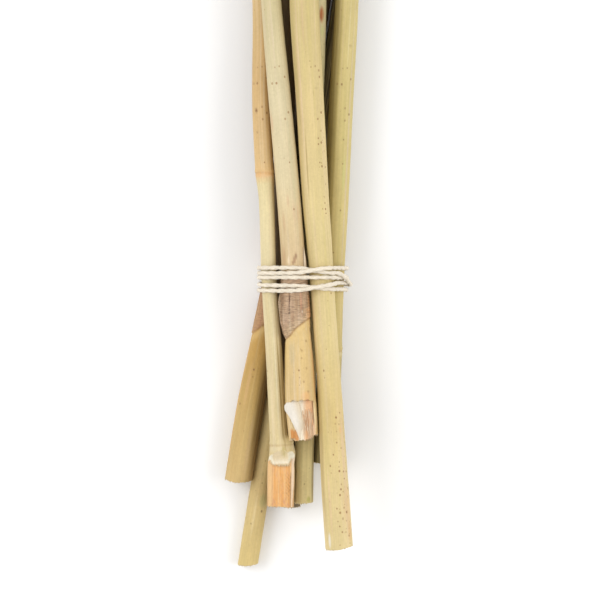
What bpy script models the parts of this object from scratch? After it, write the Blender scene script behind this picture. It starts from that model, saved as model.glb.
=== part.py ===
"""A bunch of eight cut reeds, tied round with string and lying on a flat surface.

The reeds lie along Y on the surface Z = 0, with their lower ends towards -Y. Two reeds lie
on the surface, three lie in the middle of the bundle and three lie on top. Each reed is one
solid, with its nodes, its sheath and its cut ends, and the string is one solid with its knot.

Run it with: blender --background --python part.py
"""

import math

import bmesh
import bpy
from mathutils import Matrix, Vector

MM = 0.001

# All lengths below are in millimetres, measured from the tie: X to the right, Y towards the
# upper ends, Z from the surface.
TIE_FROM_ORIGIN = (-6.1, -79.5, 0.0)  # puts the origin under the middle of the whole bunch

RING_SPACING = 22.0  # longest step between two rings of a reed
REED_BEVEL_RESOLUTION = 6  # 16 sides
STRING_BEVEL_RESOLUTION = 2  # 8 sides
WALL_SHARE = 0.27  # thickness of a reed's wall as a share of its radius
LUMEN_DEPTH = 13.0  # depth of the hollow behind each open end
LUMEN_SIDES = 12
CUTTER_OVERRUN = 2.0  # how far a cutter reaches past the surface it opens

STRING_RADIUS = 0.85
STRING_GAP = 0.5  # between the string and the reeds it holds
STRING_STEP = 10.0  # degrees round the bundle between two points of the string
BUNDLE_MIDDLE = (0.4, 16.5)  # X and Z of the middle of the tied section

# Each reed's course: Y, X and Z of its axis, and its radius.
COURSES = {
    "slim_reed": [
        (-95.3, -9.1, 19.0, 5.6), (-77.7, -8.9, 20.4, 5.6), (-69.7, -9.5, 21.1, 4.1),
        (-50.4, -10.6, 22.4, 3.7), (-25.2, -12.1, 23.4, 3.4), (0.0, -13.8, 23.8, 3.2),
        (33.6, -14.9, 22.6, 3.3), (44.0, -15.6, 21.9, 3.85), (54.6, -16.2, 20.9, 4.0),
        (75.6, -17.0, 19.0, 4.0), (117.6, -17.0, 14.6, 4.0), (190.0, -20.6, 8.4, 3.9),
        (265.4, -25.3, 4.0, 3.8),
    ],
    "sheathed_reed": [
        (-67.0, 0.8, 27.0, 6.2), (-50.4, -0.5, 26.9, 6.5), (-33.6, -1.15, 26.6, 6.0),
        (-24.0, -1.7, 26.4, 5.5), (-20.5, -2.5, 26.3, 6.1), (-12.6, -3.0, 26.2, 6.1),
        (-6.3, -3.05, 26.1, 5.7), (0.0, -3.3, 26.0, 5.3), (10.5, -3.8, 25.8, 5.05),
        (33.6, -5.5, 25.6, 5.0), (75.6, -9.3, 24.4, 4.75), (117.6, -13.0, 22.5, 4.2),
        (190.0, -17.4, 18.5, 4.0), (275.5, -21.3, 12.4, 3.8),
    ],
    "thick_reed": [
        (-113.0, 15.6, 28.4, 5.75), (-84.0, 13.7, 27.9, 5.65), (-50.4, 11.9, 27.2, 5.15),
        (-25.2, 10.1, 26.6, 5.05), (0.0, 8.3, 26.1, 5.1), (16.8, 7.1, 25.8, 5.35),
        (33.6, 5.7, 25.6, 5.6), (75.6, 3.3, 25.1, 5.8), (117.6, 1.0, 24.2, 6.2),
        (190.0, 0.3, 20.6, 5.8), (279.0, 1.7, 15.6, 5.2),
    ],
    "right_reed": [
        (-76.9, 9.5, 9.8, 5.1), (-42.0, 11.3, 13.2, 5.2), (0.0, 12.75, 14.9, 5.1),
        (33.6, 14.5, 15.2, 5.1), (75.6, 16.5, 15.2, 5.1), (117.6, 19.0, 15.0, 4.9),
        (190.0, 22.0, 14.3, 4.7), (269.6, 24.4, 13.7, 4.7),
    ],
    "left_reed": [
        (-85.5, -27.1, 8.6, 5.75), (-50.4, -21.3, 9.2, 5.7), (-25.2, -16.4, 9.5, 5.2),
        (-6.3, -12.8, 8.8, 4.8), (0.0, -11.8, 8.4, 4.6), (22.0, -8.2, 7.0, 4.5),
        (58.8, -1.9, 6.2, 4.4), (117.6, 7.7, 5.5, 4.3), (190.0, 19.0, 4.8, 4.2),
        (260.4, 28.5, 4.3, 4.2),
    ],
    "long_reed": [
        (-121.0, -23.0, 4.4, 4.25), (-84.0, -17.1, 4.8, 4.25), (-50.4, -11.5, 5.2, 4.25),
        (0.0, -2.6, 6.5, 4.2), (58.8, 7.3, 6.0, 4.2), (117.6, 17.0, 5.0, 4.2),
        (190.0, 28.5, 4.5, 4.1), (273.4, 40.9, 4.1, 4.0),
    ],
    "olive_reed": [
        (-94.1, 0.8, 12.6, 3.95), (-67.2, 1.2, 14.3, 3.95), (-42.0, 2.0, 15.2, 3.95),
        (0.0, 2.6, 15.8, 3.9), (42.0, 2.9, 15.3, 3.9), (75.6, 5.1, 14.9, 3.9),
        (117.6, 6.4, 14.3, 3.9), (190.0, 7.4, 12.0, 3.8), (268.0, 8.4, 9.2, 3.7),
    ],
    "back_reed": [
        (-95.8, -4.6, 6.0, 4.0), (-60.0, -6.2, 10.9, 4.0), (-33.0, -7.2, 15.0, 4.0),
        (0.0, -7.9, 16.6, 4.0), (30.0, -8.3, 16.2, 4.0), (75.6, -7.1, 14.0, 4.2),
        (117.6, -7.2, 12.0, 4.2), (190.0, -9.4, 7.6, 4.0), (263.3, -10.3, 4.2, 3.9),
    ],
}

COLOURS = {
    "slim_reed": (0.66, 0.53, 0.27),
    "sheathed_reed": (0.63, 0.52, 0.31),
    "thick_reed": (0.55, 0.46, 0.19),
    "right_reed": (0.50, 0.43, 0.18),
    "left_reed": (0.44, 0.30, 0.12),
    "long_reed": (0.45, 0.36, 0.16),
    "olive_reed": (0.36, 0.30, 0.13),
    "back_reed": (0.22, 0.15, 0.07),
    "string": (0.80, 0.74, 0.64),
}
REED_ROUGHNESS = 0.5
STRING_ROUGHNESS = 0.9

# The slim reed's heel is shaved flat on top, and the sheathed reed's end is broken open on
# top. Each is the lowest Y, the highest Y and the height of the cut above the reed's axis.
HEEL_SHAVING = (-95.3, -77.0, 1.9)
BROKEN_OPENING = (-67.0, -51.6, 3.3)

# The string's route from the knot round the bundle and back to it: degrees round the bundle
# (0 at its right, 90 on top, 180 at its left, 270 underneath), Y, and the lift over a strand
# that it crosses. Each line is about half a turn.
STRING_ROUTE = [
    (-52, 1.9, 2.1), (-42, 3.0, 2.0), (-31, 4.3, 1.2), (-20, 4.9, 0.3), (0, 5.0, 0.0),
    (40, 5.0, 0.0), (60, 4.9, 1.0), (76, 4.1, 2.1), (96, 3.1, 0.7), (125, 2.9, 0.0),
    (165, 2.9, 0.0), (210, 2.7, 0.0), (260, 2.5, 0.0), (290, 2.2, 0.0), (302, 1.6, 0.2),
    (312, 0.6, 1.3), (322, -0.5, 1.9), (334, -1.5, 1.9), (350, -1.9, 1.8), (365, -1.1, 1.8),
    (381, 1.2, 2.0), (396, 2.8, 1.0), (415, 3.0, 0.0), (436, 4.0, 0.0), (456, 5.0, 0.0),
    (485, 5.1, 0.0), (540, 5.1, 0.0), (600, 4.8, 0.0), (640, 4.4, 0.0), (662, 3.7, 0.0),
    (680, 2.4, 0.0), (697, 1.4, 0.0), (725, 1.1, 0.0), (765, 1.0, 0.0), (840, 1.1, 0.0), (900, 1.0, 0.0),
    (950, 0.6, 0.0), (1000, -0.5, 0.0), (1030, -1.0, 0.0), (1070, -1.2, 0.0),
    (1115, -1.2, 0.0), (1132, -1.9, 1.1), (1150, -2.9, 2.1), (1172, -4.2, 0.9),
    (1200, -4.5, 0.0), (1260, -4.2, 0.0), (1310, -4.4, 0.0), (1360, -4.5, 0.0),
    (1410, -4.2, 0.0), (1450, -3.9, 0.0), (1490, -3.8, 0.0), (1512, -3.2, 0.0),
    (1535, -2.5, 0.0), (1570, -2.3, 0.0), (1620, -1.7, 0.0), (1668, -1.6, 0.0),
    (1700, -2.4, 0.0), (1722, -2.7, 0.4), (1735, -1.8, 1.8), (1748, 0.0, 2.2),
]
KNOT_PLACE = (-52, 0.95, 2.3)
KNOT_RADIUS = 2.0


def place_between(course, y):
    """X, Z and radius of a smooth curve through the course's points, at the distance y."""
    def slope(i):
        first, last = course[max(i - 1, 0)], course[min(i + 1, len(course) - 1)]
        return [(b - a) / (last[0] - first[0]) for a, b in zip(first[1:], last[1:])]

    i = 0
    while i < len(course) - 2 and y > course[i + 1][0]:
        i += 1
    start, end = course[i], course[i + 1]
    span = end[0] - start[0]
    t = (y - start[0]) / span
    weights = (
        2 * t**3 - 3 * t**2 + 1, (t**3 - 2 * t**2 + t) * span,
        3 * t**2 - 2 * t**3, (t**3 - t**2) * span,
    )
    sets = zip(start[1:], slope(i), end[1:], slope(i + 1))
    return [sum(w * v for w, v in zip(weights, values)) for values in sets]


def reed_rings(course):
    """The axis points and radii of a reed, with a ring at each course point and between."""
    ys = [course[0][0]]
    for start, end in zip(course, course[1:]):
        steps = math.ceil((end[0] - start[0]) / RING_SPACING)
        ys += [start[0] + (end[0] - start[0]) * k / steps for k in range(1, steps + 1)]
    points, radii = [], []
    for y in ys:
        x, z, radius = place_between(course, y)
        points.append(Vector((x, y, z)))
        radii.append(radius)
    return points, radii


def reach_round_reeds(degrees, y):
    """How far out the string's axis is at an angle round the bundle, pulled tight over all reeds."""
    angle = math.radians(degrees)
    sections = [place_between(course, y) for course in COURSES.values()]
    reaches = []
    for offset in range(-80, 81, 2):
        direction = angle + math.radians(offset)
        support = max(
            (x - BUNDLE_MIDDLE[0]) * math.cos(direction)
            + (z - BUNDLE_MIDDLE[1]) * math.sin(direction) + radius
            for x, z, radius in sections
        )
        reaches.append((support + STRING_GAP + STRING_RADIUS) / math.cos(math.radians(offset)))
    return min(reaches)


def string_place(degrees, y, lift):
    reach = reach_round_reeds(degrees, y) + lift
    angle = math.radians(degrees)
    return Vector((
        BUNDLE_MIDDLE[0] + reach * math.cos(angle), y, BUNDLE_MIDDLE[1] + reach * math.sin(angle)
    ))


def string_stop(turn):
    """Y and lift of the string at an angle along its route."""
    y, lift, _ = place_between([(*stop, 0.0) for stop in STRING_ROUTE], turn)
    return y, max(lift, 0.0)


def string_points():
    """Points along the string, each at most STRING_STEP degrees from the one before."""
    points = []
    turn = STRING_ROUTE[0][0]
    last = STRING_ROUTE[-1][0]
    while turn < last:
        points.append(string_place(turn, *string_stop(turn)))
        turn += STRING_STEP
    points.append(string_place(*STRING_ROUTE[-1]))
    return points


def new_collection(name):
    collection = bpy.data.collections.new(name)
    bpy.context.scene.collection.children.link(collection)
    return collection


def material(name, roughness):
    made = bpy.data.materials.new(name)
    made.use_nodes = True
    shader = made.node_tree.nodes["Principled BSDF"]
    shader.inputs["Base Color"].default_value = (*COLOURS[name], 1.0)
    shader.inputs["Roughness"].default_value = roughness
    shader.inputs["Metallic"].default_value = 0.0
    return made


def add_object(name, mesh, collection, tie):
    added = bpy.data.objects.new(name, mesh)
    collection.objects.link(added)
    added.parent = tie
    return added


def tube(name, points, radii, bevel_resolution, collection, tie):
    """A round tube through the points, closed at both ends, as a mesh object."""
    curve = bpy.data.curves.new(name + "_axis", "CURVE")
    curve.dimensions = "3D"
    curve.bevel_depth = MM
    curve.bevel_resolution = bevel_resolution
    curve.use_fill_caps = True
    spline = curve.splines.new("POLY")
    spline.points.add(len(points) - 1)
    for spline_point, point, radius in zip(spline.points, points, radii):
        spline_point.co = (*(point * MM), 1.0)
        spline_point.radius = radius
    guide = add_object(name + "_axis", curve, collection, tie)
    bpy.context.view_layer.update()
    graph = bpy.context.evaluated_depsgraph_get()
    mesh = bpy.data.meshes.new_from_object(guide.evaluated_get(graph))
    mesh.name = name
    bpy.data.objects.remove(guide)

    shape = bmesh.new()
    shape.from_mesh(mesh)
    bmesh.ops.remove_doubles(shape, verts=shape.verts, dist=0.001 * MM)
    bmesh.ops.recalc_face_normals(shape, faces=shape.faces)
    shape.to_mesh(mesh)
    shape.free()
    mesh.shade_smooth()
    mesh.set_sharp_from_angle(angle=math.radians(40))
    return add_object(name, mesh, collection, tie)


def cut(body, cutter, operation="DIFFERENCE"):
    cutter.hide_render = True
    cutter.display_type = "WIRE"
    boolean = body.modifiers.new(cutter.name, "BOOLEAN")
    boolean.operation = operation
    boolean.solver = "EXACT"
    boolean.object = cutter


def cutter_mesh(name, make):
    mesh = bpy.data.meshes.new(name)
    shape = bmesh.new()
    make(shape)
    shape.to_mesh(mesh)
    shape.free()
    return mesh


def lumen_cutter(name, end, inner, radius, cutters, tie):
    """A cylinder from just outside an end to LUMEN_DEPTH inside it, along the reed's axis."""
    inward = (inner - end).normalized()
    length = LUMEN_DEPTH + CUTTER_OVERRUN
    mesh = cutter_mesh(name, lambda shape: bmesh.ops.create_cone(
        shape, cap_ends=True, segments=LUMEN_SIDES, depth=length * MM,
        radius1=radius * MM, radius2=radius * MM,
    ))
    cutter = add_object(name, mesh, cutters, tie)
    cutter.location = (end + inward * (length / 2 - CUTTER_OVERRUN)) * MM
    cutter.rotation_euler = inward.to_track_quat("Z", "Y").to_euler()
    return cutter


def top_cutter(name, course, opening, cutters, tie):
    """A box over a stretch of a reed, which takes off its top above a height over its axis."""
    low, high, height = opening
    x, z, radius = place_between(course, (low + high) / 2)
    size = Vector((4 * radius, high - low + CUTTER_OVERRUN, 2 * radius))
    mesh = cutter_mesh(name, lambda shape: bmesh.ops.create_cube(
        shape, size=1.0, matrix=Matrix.Diagonal((*(size * MM), 1.0))
    ))
    cutter = add_object(name, mesh, cutters, tie)
    middle = Vector((x, high - size.y / 2, z + height + radius))
    cutter.location = middle * MM
    return cutter


def open_ends(reed, points, radii, cutters, tie, ends):
    """Bores the hollow of a reed behind its lower end, its upper end or both."""
    places = {
        "lower": (points[0], points[1], radii[0]),
        "upper": (points[-1], points[-2], radii[-1]),
    }
    for end in ends:
        first, second, radius = places[end]
        name = f"{reed.name}_{end}_lumen"
        inner_radius = radius * (1 - WALL_SHARE)
        cut(reed, lumen_cutter(name, first, second, inner_radius, cutters, tie))


def build_reed(name, collection, cutters, tie):
    points, radii = reed_rings(COURSES[name])
    reed = tube(name, points, radii, REED_BEVEL_RESOLUTION, collection, tie)
    reed.data.materials.append(material(name, REED_ROUGHNESS))
    if name == "slim_reed":
        open_ends(reed, points, radii, cutters, tie, ["upper"])
        cut(reed, top_cutter("heel_shaving", COURSES[name], HEEL_SHAVING, cutters, tie))
        return
    open_ends(reed, points, radii, cutters, tie, ["lower", "upper"])
    if name == "sheathed_reed":
        cut(reed, top_cutter("broken_opening", COURSES[name], BROKEN_OPENING, cutters, tie))


def build_string(collection, cutters, tie):
    """The string, five times round the bundle, with both its ends in one knot low at the right."""
    points = string_points()
    radii = [STRING_RADIUS] * len(points)
    string = tube("string", points, radii, STRING_BEVEL_RESOLUTION, collection, tie)
    string.data.materials.append(material("string", STRING_ROUGHNESS))
    knot = add_object("knot", cutter_mesh("knot", lambda shape: bmesh.ops.create_icosphere(
        shape, subdivisions=2, radius=KNOT_RADIUS * MM
    )), cutters, tie)
    knot.location = string_place(*KNOT_PLACE) * MM
    cut(string, knot, operation="UNION")


def main():
    for existing in list(bpy.data.objects):
        bpy.data.objects.remove(existing)
    bunch = new_collection("bunch_of_reeds")
    cutters = new_collection("cutters")
    tie = bpy.data.objects.new("tie_place", None)
    tie.location = Vector(TIE_FROM_ORIGIN) * MM
    bunch.objects.link(tie)
    for name in COURSES:
        build_reed(name, bunch, cutters, tie)
    build_string(bunch, cutters, tie)


main()
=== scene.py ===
"""The looks of a bunch of eight cut reeds tied with string, lying on a pale surface.

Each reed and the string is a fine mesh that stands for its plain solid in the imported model. Lengths are
in millimetres from the tie: X to the right, Y towards the upper ends, Z from the surface. Angles round a
reed are 0 at its right, 90 on top and 180 at its left.
"""

import math

import bpy
import numpy as np
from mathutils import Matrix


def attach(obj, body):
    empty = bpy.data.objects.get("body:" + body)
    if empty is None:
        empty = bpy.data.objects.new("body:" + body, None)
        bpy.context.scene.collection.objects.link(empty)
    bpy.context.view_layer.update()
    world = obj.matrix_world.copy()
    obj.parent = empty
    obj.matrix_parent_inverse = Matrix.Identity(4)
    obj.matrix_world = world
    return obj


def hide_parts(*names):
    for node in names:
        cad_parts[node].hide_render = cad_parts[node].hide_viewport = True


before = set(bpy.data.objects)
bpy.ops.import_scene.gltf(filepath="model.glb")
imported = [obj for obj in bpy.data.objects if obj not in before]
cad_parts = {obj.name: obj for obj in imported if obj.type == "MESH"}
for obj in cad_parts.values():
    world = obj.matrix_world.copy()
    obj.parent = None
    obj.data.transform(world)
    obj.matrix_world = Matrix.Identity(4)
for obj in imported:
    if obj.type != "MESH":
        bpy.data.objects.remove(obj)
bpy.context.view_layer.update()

MM = 0.001
TIE_FROM_ORIGIN = np.array([-6.1, -79.5, 0.0])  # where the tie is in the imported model

SIDES = 88  # round a reed
MOST_SIDES = 128  # round the sheathed reed, which has the finest detail
SEEN_SPACING = 0.75  # between rings where the bunch is looked at closely
FAR_SPACING = 1.8  # elsewhere
FINE_SPACING = 0.3  # round a node, a sheath's edge or a cut
SEEN_TO = 122.0  # Y up to which the bunch is looked at closely
WALL_SHARE = 0.27  # thickness of a reed's wall as a share of its radius
LUMEN_DEPTH = 13.0  # of the hollow in each end
LEAST_HEIGHT = 0.08  # of anything over the floor

BUNDLE_MIDDLE = (0.4, 16.5)  # X and Z of the middle of the tied section
STRING_RADIUS = 0.85
STRING_GAP = 0.2  # between the string and the reeds
STRING_STEP = 1.5  # degrees round the bundle between two points of the string
PLY_RADIUS = 0.70
PLY_OFFSET = 0.22  # how far each ply runs from the string's axis
PLY_PITCH = 8.5
PLY_SIDES = 12
TAIL_RADIUS = 0.95 * PLY_RADIUS  # of the plies of the knot and its tails
TAIL_STEP = 0.4
PLY_STRIPS = 24  # that a ply's length is laid out in on its UV map
TIGHTENING = 6  # rounds of smoothing the string's route

TORN_FIBRES = 60  # along the broken end, and as many round its rim
SHAVED_FIBRES = 90
HEEL_FIBRES = 60  # where the heel is cut off
SAWN_FIBRES = 46  # round the rim of each sawn lower end
STRING_FIBRES = 900
TAIL_FIBRES = 26
SPLINTER = (0.5, 1.0, 0.9, 0.65, 0.35, 0.0)  # its width at even steps, as a share of its greatest

BAKE_MAP = "OFBake"  # the UV map laid out for drawing the finishes on
MAIN_BANDS = 4  # strips that a reed's length is laid out in on its UV map
MAIN_WIDTH = 0.93  # share of the UV map that those strips take
BAND_EDGE = 0.01  # left free round each strip
EXTRA_COLUMNS = 2  # of small cells for the fibres, right of the strips
EXTRA_ROWS = 100
EXTRA_GAP = 0.004
EXTRA_FILL = 0.85
# What each mesh stores for its finish, with its kind and the name of its field.
ATTRIBUTES = {
    "straight": ("FLOAT_VECTOR", "vector"), "wrapped": ("FLOAT_VECTOR", "vector"),
    "tint": ("FLOAT_COLOR", "color"), "bare": ("FLOAT", "value"), "freckles": ("FLOAT", "value"),
    "papery": ("FLOAT", "value"),
}

# Each reed's course: Y, X and Z of its axis, and its radius.
COURSES = {
    "slim_reed": [
        (-95.3, -9.1, 19.0, 5.6), (-77.7, -8.9, 20.4, 5.6), (-69.7, -9.5, 21.1, 4.1),
        (-50.4, -10.6, 22.4, 3.7), (-25.2, -12.1, 23.4, 3.4), (0.0, -13.8, 23.8, 3.2),
        (33.6, -14.9, 22.6, 3.3), (44.0, -15.6, 21.9, 3.85), (54.6, -16.2, 20.9, 4.0),
        (75.6, -17.0, 19.0, 4.0), (117.6, -17.0, 14.6, 4.0), (190.0, -20.6, 8.4, 3.9),
        (265.4, -25.3, 4.0, 3.8),
    ],
    "sheathed_reed": [
        (-67.0, 0.8, 27.0, 6.2), (-50.4, -0.5, 26.9, 6.5), (-33.6, -1.15, 26.6, 6.0),
        (-24.0, -1.7, 26.4, 5.5), (-20.5, -2.5, 26.3, 6.1), (-12.6, -3.0, 26.2, 6.1),
        (-6.3, -3.05, 26.1, 5.7), (0.0, -3.3, 26.0, 5.3), (10.5, -3.8, 25.8, 5.05),
        (33.6, -5.5, 25.6, 5.0), (75.6, -9.3, 24.4, 4.75), (117.6, -13.0, 22.5, 4.2),
        (190.0, -17.4, 18.5, 4.0), (275.5, -21.3, 12.4, 3.8),
    ],
    "thick_reed": [
        (-113.0, 15.6, 28.4, 5.75), (-84.0, 13.7, 27.9, 5.65), (-50.4, 11.9, 27.2, 5.15),
        (-25.2, 10.1, 26.6, 5.05), (0.0, 8.3, 26.1, 5.1), (16.8, 7.1, 25.8, 5.35),
        (33.6, 5.7, 25.6, 5.6), (75.6, 3.3, 25.1, 5.8), (117.6, 1.0, 24.2, 6.2),
        (190.0, 0.3, 20.6, 5.8), (279.0, 1.7, 15.6, 5.2),
    ],
    "right_reed": [
        (-76.9, 9.5, 9.8, 5.1), (-42.0, 11.3, 13.2, 5.2), (0.0, 12.75, 14.9, 5.1),
        (33.6, 14.5, 15.2, 5.1), (75.6, 16.5, 15.2, 5.1), (117.6, 19.0, 15.0, 4.9),
        (190.0, 22.0, 14.3, 4.7), (269.6, 24.4, 13.7, 4.7),
    ],
    "left_reed": [
        (-85.5, -27.1, 8.6, 5.75), (-50.4, -21.3, 9.2, 5.7), (-25.2, -16.4, 9.5, 5.2),
        (-6.3, -12.8, 8.8, 4.8), (0.0, -11.8, 8.4, 4.6), (22.0, -8.2, 7.0, 4.5),
        (58.8, -1.9, 6.2, 4.4), (117.6, 7.7, 5.5, 4.3), (190.0, 19.0, 4.8, 4.2),
        (260.4, 28.5, 4.3, 4.2),
    ],
    "long_reed": [
        (-121.0, -23.0, 4.4, 4.25), (-84.0, -17.1, 4.8, 4.25), (-50.4, -11.5, 5.2, 4.25),
        (0.0, -2.6, 6.5, 4.2), (58.8, 7.3, 6.0, 4.2), (117.6, 17.0, 5.0, 4.2),
        (190.0, 28.5, 4.5, 4.1), (273.4, 40.9, 4.1, 4.0),
    ],
    "olive_reed": [
        (-94.1, 0.8, 12.6, 3.95), (-67.2, 1.2, 14.3, 3.95), (-42.0, 2.0, 15.2, 3.95),
        (0.0, 2.6, 15.8, 3.9), (42.0, 2.9, 15.3, 3.9), (75.6, 5.1, 14.9, 3.9),
        (117.6, 6.4, 14.3, 3.9), (190.0, 7.4, 12.0, 3.8), (268.0, 8.4, 9.2, 3.7),
    ],
    "back_reed": [
        (-95.8, -4.6, 6.0, 4.0), (-60.0, -6.2, 10.9, 4.0), (-33.0, -7.2, 15.0, 4.0),
        (0.0, -7.9, 16.6, 4.0), (30.0, -8.3, 16.2, 4.0), (75.6, -7.1, 14.0, 4.2),
        (117.6, -7.2, 12.0, 4.2), (190.0, -9.4, 7.6, 4.0), (263.3, -10.3, 4.2, 3.9),
    ],
}

# The string's route from the knot round the bundle and back to it: degrees round the bundle
# (0 at its right, 90 on top, 180 at its left, 270 underneath), Y, and the lift over a strand
# that it crosses.
STRING_ROUTE = [
    (-52, 1.9, 2.1), (-42, 3.0, 2.0), (-31, 4.3, 1.2), (-20, 4.9, 0.3), (0, 5.0, 0.0),
    (40, 5.0, 0.0), (60, 4.9, 1.0), (76, 4.1, 2.1), (96, 3.1, 0.7), (125, 2.9, 0.0),
    (165, 2.9, 0.0), (210, 2.7, 0.0), (260, 2.5, 0.0), (290, 2.2, 0.0), (302, 1.6, 0.2),
    (312, 0.6, 1.3), (322, -0.5, 1.9), (334, -1.5, 1.9), (350, -1.9, 1.8), (365, -1.1, 1.8),
    (381, 1.2, 2.0), (396, 2.8, 1.0), (415, 3.0, 0.0), (436, 4.0, 0.0), (456, 5.0, 0.0),
    (485, 5.1, 0.0), (540, 5.1, 0.0), (600, 4.8, 0.0), (640, 4.4, 0.0), (662, 3.7, 0.0),
    (680, 2.4, 0.0), (697, 1.4, 0.0), (725, 1.1, 0.0), (765, 1.0, 0.0), (840, 1.1, 0.0),
    (900, 1.0, 0.0), (950, 0.6, 0.0), (1000, -0.5, 0.0), (1030, -1.0, 0.0), (1070, -1.2, 0.0),
    (1115, -1.2, 0.0), (1132, -1.9, 1.1), (1150, -2.9, 2.1), (1172, -4.2, 0.9),
    (1200, -4.5, 0.0), (1260, -4.2, 0.0), (1310, -4.4, 0.0), (1360, -4.5, 0.0),
    (1410, -4.2, 0.0), (1450, -3.9, 0.0), (1490, -3.8, 0.0), (1512, -3.2, 0.0),
    (1535, -2.5, 0.0), (1570, -2.3, 0.0), (1620, -1.7, 0.0), (1668, -1.6, 0.0),
    (1700, -2.4, 0.0), (1722, -2.7, 0.4), (1735, -1.8, 1.8), (1748, 0.0, 2.2),
]
KNOT_PLACE = (-52, 0.95, 2.3)
KNOT_SIZE = 0.62
TAILS = [(1, -5.0), (-1, -4.2)]  # which way each tail of the knot goes along Y, and how far round
TAIL_LENGTH = 6.5
ALONG = np.array([0, 1.0, 0])

TONE = 0.80  # how light everything is against the colours below

# Colours along each reed: Y and the colour of its bark there. The near-black stretches are painted shade,
# where a reed lies deep in the bunch.
BARK = {
    "slim_reed": [
        (-95, (0.78, 0.43, 0.17)), (-70, (0.80, 0.66, 0.36)), (-30, (0.80, 0.67, 0.38)),
        (10, (0.82, 0.70, 0.41)), (40, (0.82, 0.69, 0.38)), (44.5, (0.82, 0.54, 0.24)),
        (50, (0.76, 0.52, 0.24)), (85, (0.70, 0.46, 0.20)), (118, (0.71, 0.49, 0.22)),
        (265, (0.66, 0.50, 0.24)),
    ],
    "sheathed_reed": [
        (-67, (0.78, 0.54, 0.24)), (-24, (0.80, 0.58, 0.25)), (-3, (0.76, 0.56, 0.30)),
        (8, (0.78, 0.58, 0.33)), (24, (0.78, 0.61, 0.34)), (40, (0.79, 0.66, 0.40)),
        (75, (0.77, 0.66, 0.41)), (118, (0.68, 0.58, 0.32)), (275, (0.66, 0.55, 0.30)),
    ],
    "thick_reed": [
        (-113, (0.80, 0.64, 0.32)), (-80, (0.79, 0.62, 0.29)), (-60, (0.73, 0.55, 0.23)),
        (-20, (0.80, 0.64, 0.31)), (20, (0.78, 0.63, 0.30)), (65, (0.78, 0.61, 0.29)),
        (118, (0.70, 0.56, 0.25)), (279, (0.66, 0.53, 0.24)),
    ],
    "right_reed": [
        # The near-black lower end is painted shade.
        (-77, (0.12, 0.09, 0.04)), (-62, (0.14, 0.10, 0.04)), (-35, (0.56, 0.44, 0.17)),
        (0, (0.70, 0.55, 0.22)), (60, (0.70, 0.57, 0.23)),
        (118, (0.69, 0.56, 0.23)), (270, (0.64, 0.50, 0.22)),
    ],
    "left_reed": [
        (-86, (0.69, 0.49, 0.21)), (-60, (0.64, 0.44, 0.16)), (-28, (0.58, 0.34, 0.085)),
        # The near-black stretch from about Y 30 to 125 is painted shade.
        (0, (0.60, 0.40, 0.18)), (30, (0.14, 0.09, 0.04)), (125, (0.09, 0.06, 0.03)),
        (150, (0.56, 0.42, 0.19)), (260, (0.62, 0.46, 0.20)),
    ],
    "long_reed": [
        (-121, (0.75, 0.57, 0.23)), (-90, (0.74, 0.55, 0.24)), (-60, (0.78, 0.60, 0.27)),
        # The near-black stretch from about Y 40 to 125 is painted shade.
        (0, (0.62, 0.48, 0.20)), (40, (0.20, 0.14, 0.06)), (125, (0.14, 0.10, 0.04)),
        (150, (0.60, 0.47, 0.20)), (273, (0.62, 0.48, 0.20)),
    ],
    "olive_reed": [
        (-94, (0.92, 0.76, 0.37)), (-78, (0.92, 0.77, 0.37)), (-62, (0.76, 0.61, 0.28)),
        (60, (0.52, 0.43, 0.20)), (118, (0.72, 0.62, 0.34)), (268, (0.55, 0.47, 0.22)),
    ],
    "back_reed": [
        # The dark colours up to about Y 110 are painted shade; only the upper end keeps the bark's own
        # colour.
        (-96, (0.26, 0.19, 0.10)), (-40, (0.20, 0.13, 0.06)), (110, (0.16, 0.10, 0.04)),
        (180, (0.46, 0.35, 0.16)), (263, (0.52, 0.40, 0.18)),
    ],
}
PITH = (0.90, 0.83, 0.72)
CUT_WOOD = (0.78, 0.60, 0.36)
HOLLOW = (0.55, 0.38, 0.20)
ORANGE_WOOD = (0.86, 0.43, 0.14)
SHEATH_BROWN = (0.47, 0.29, 0.16)

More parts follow.
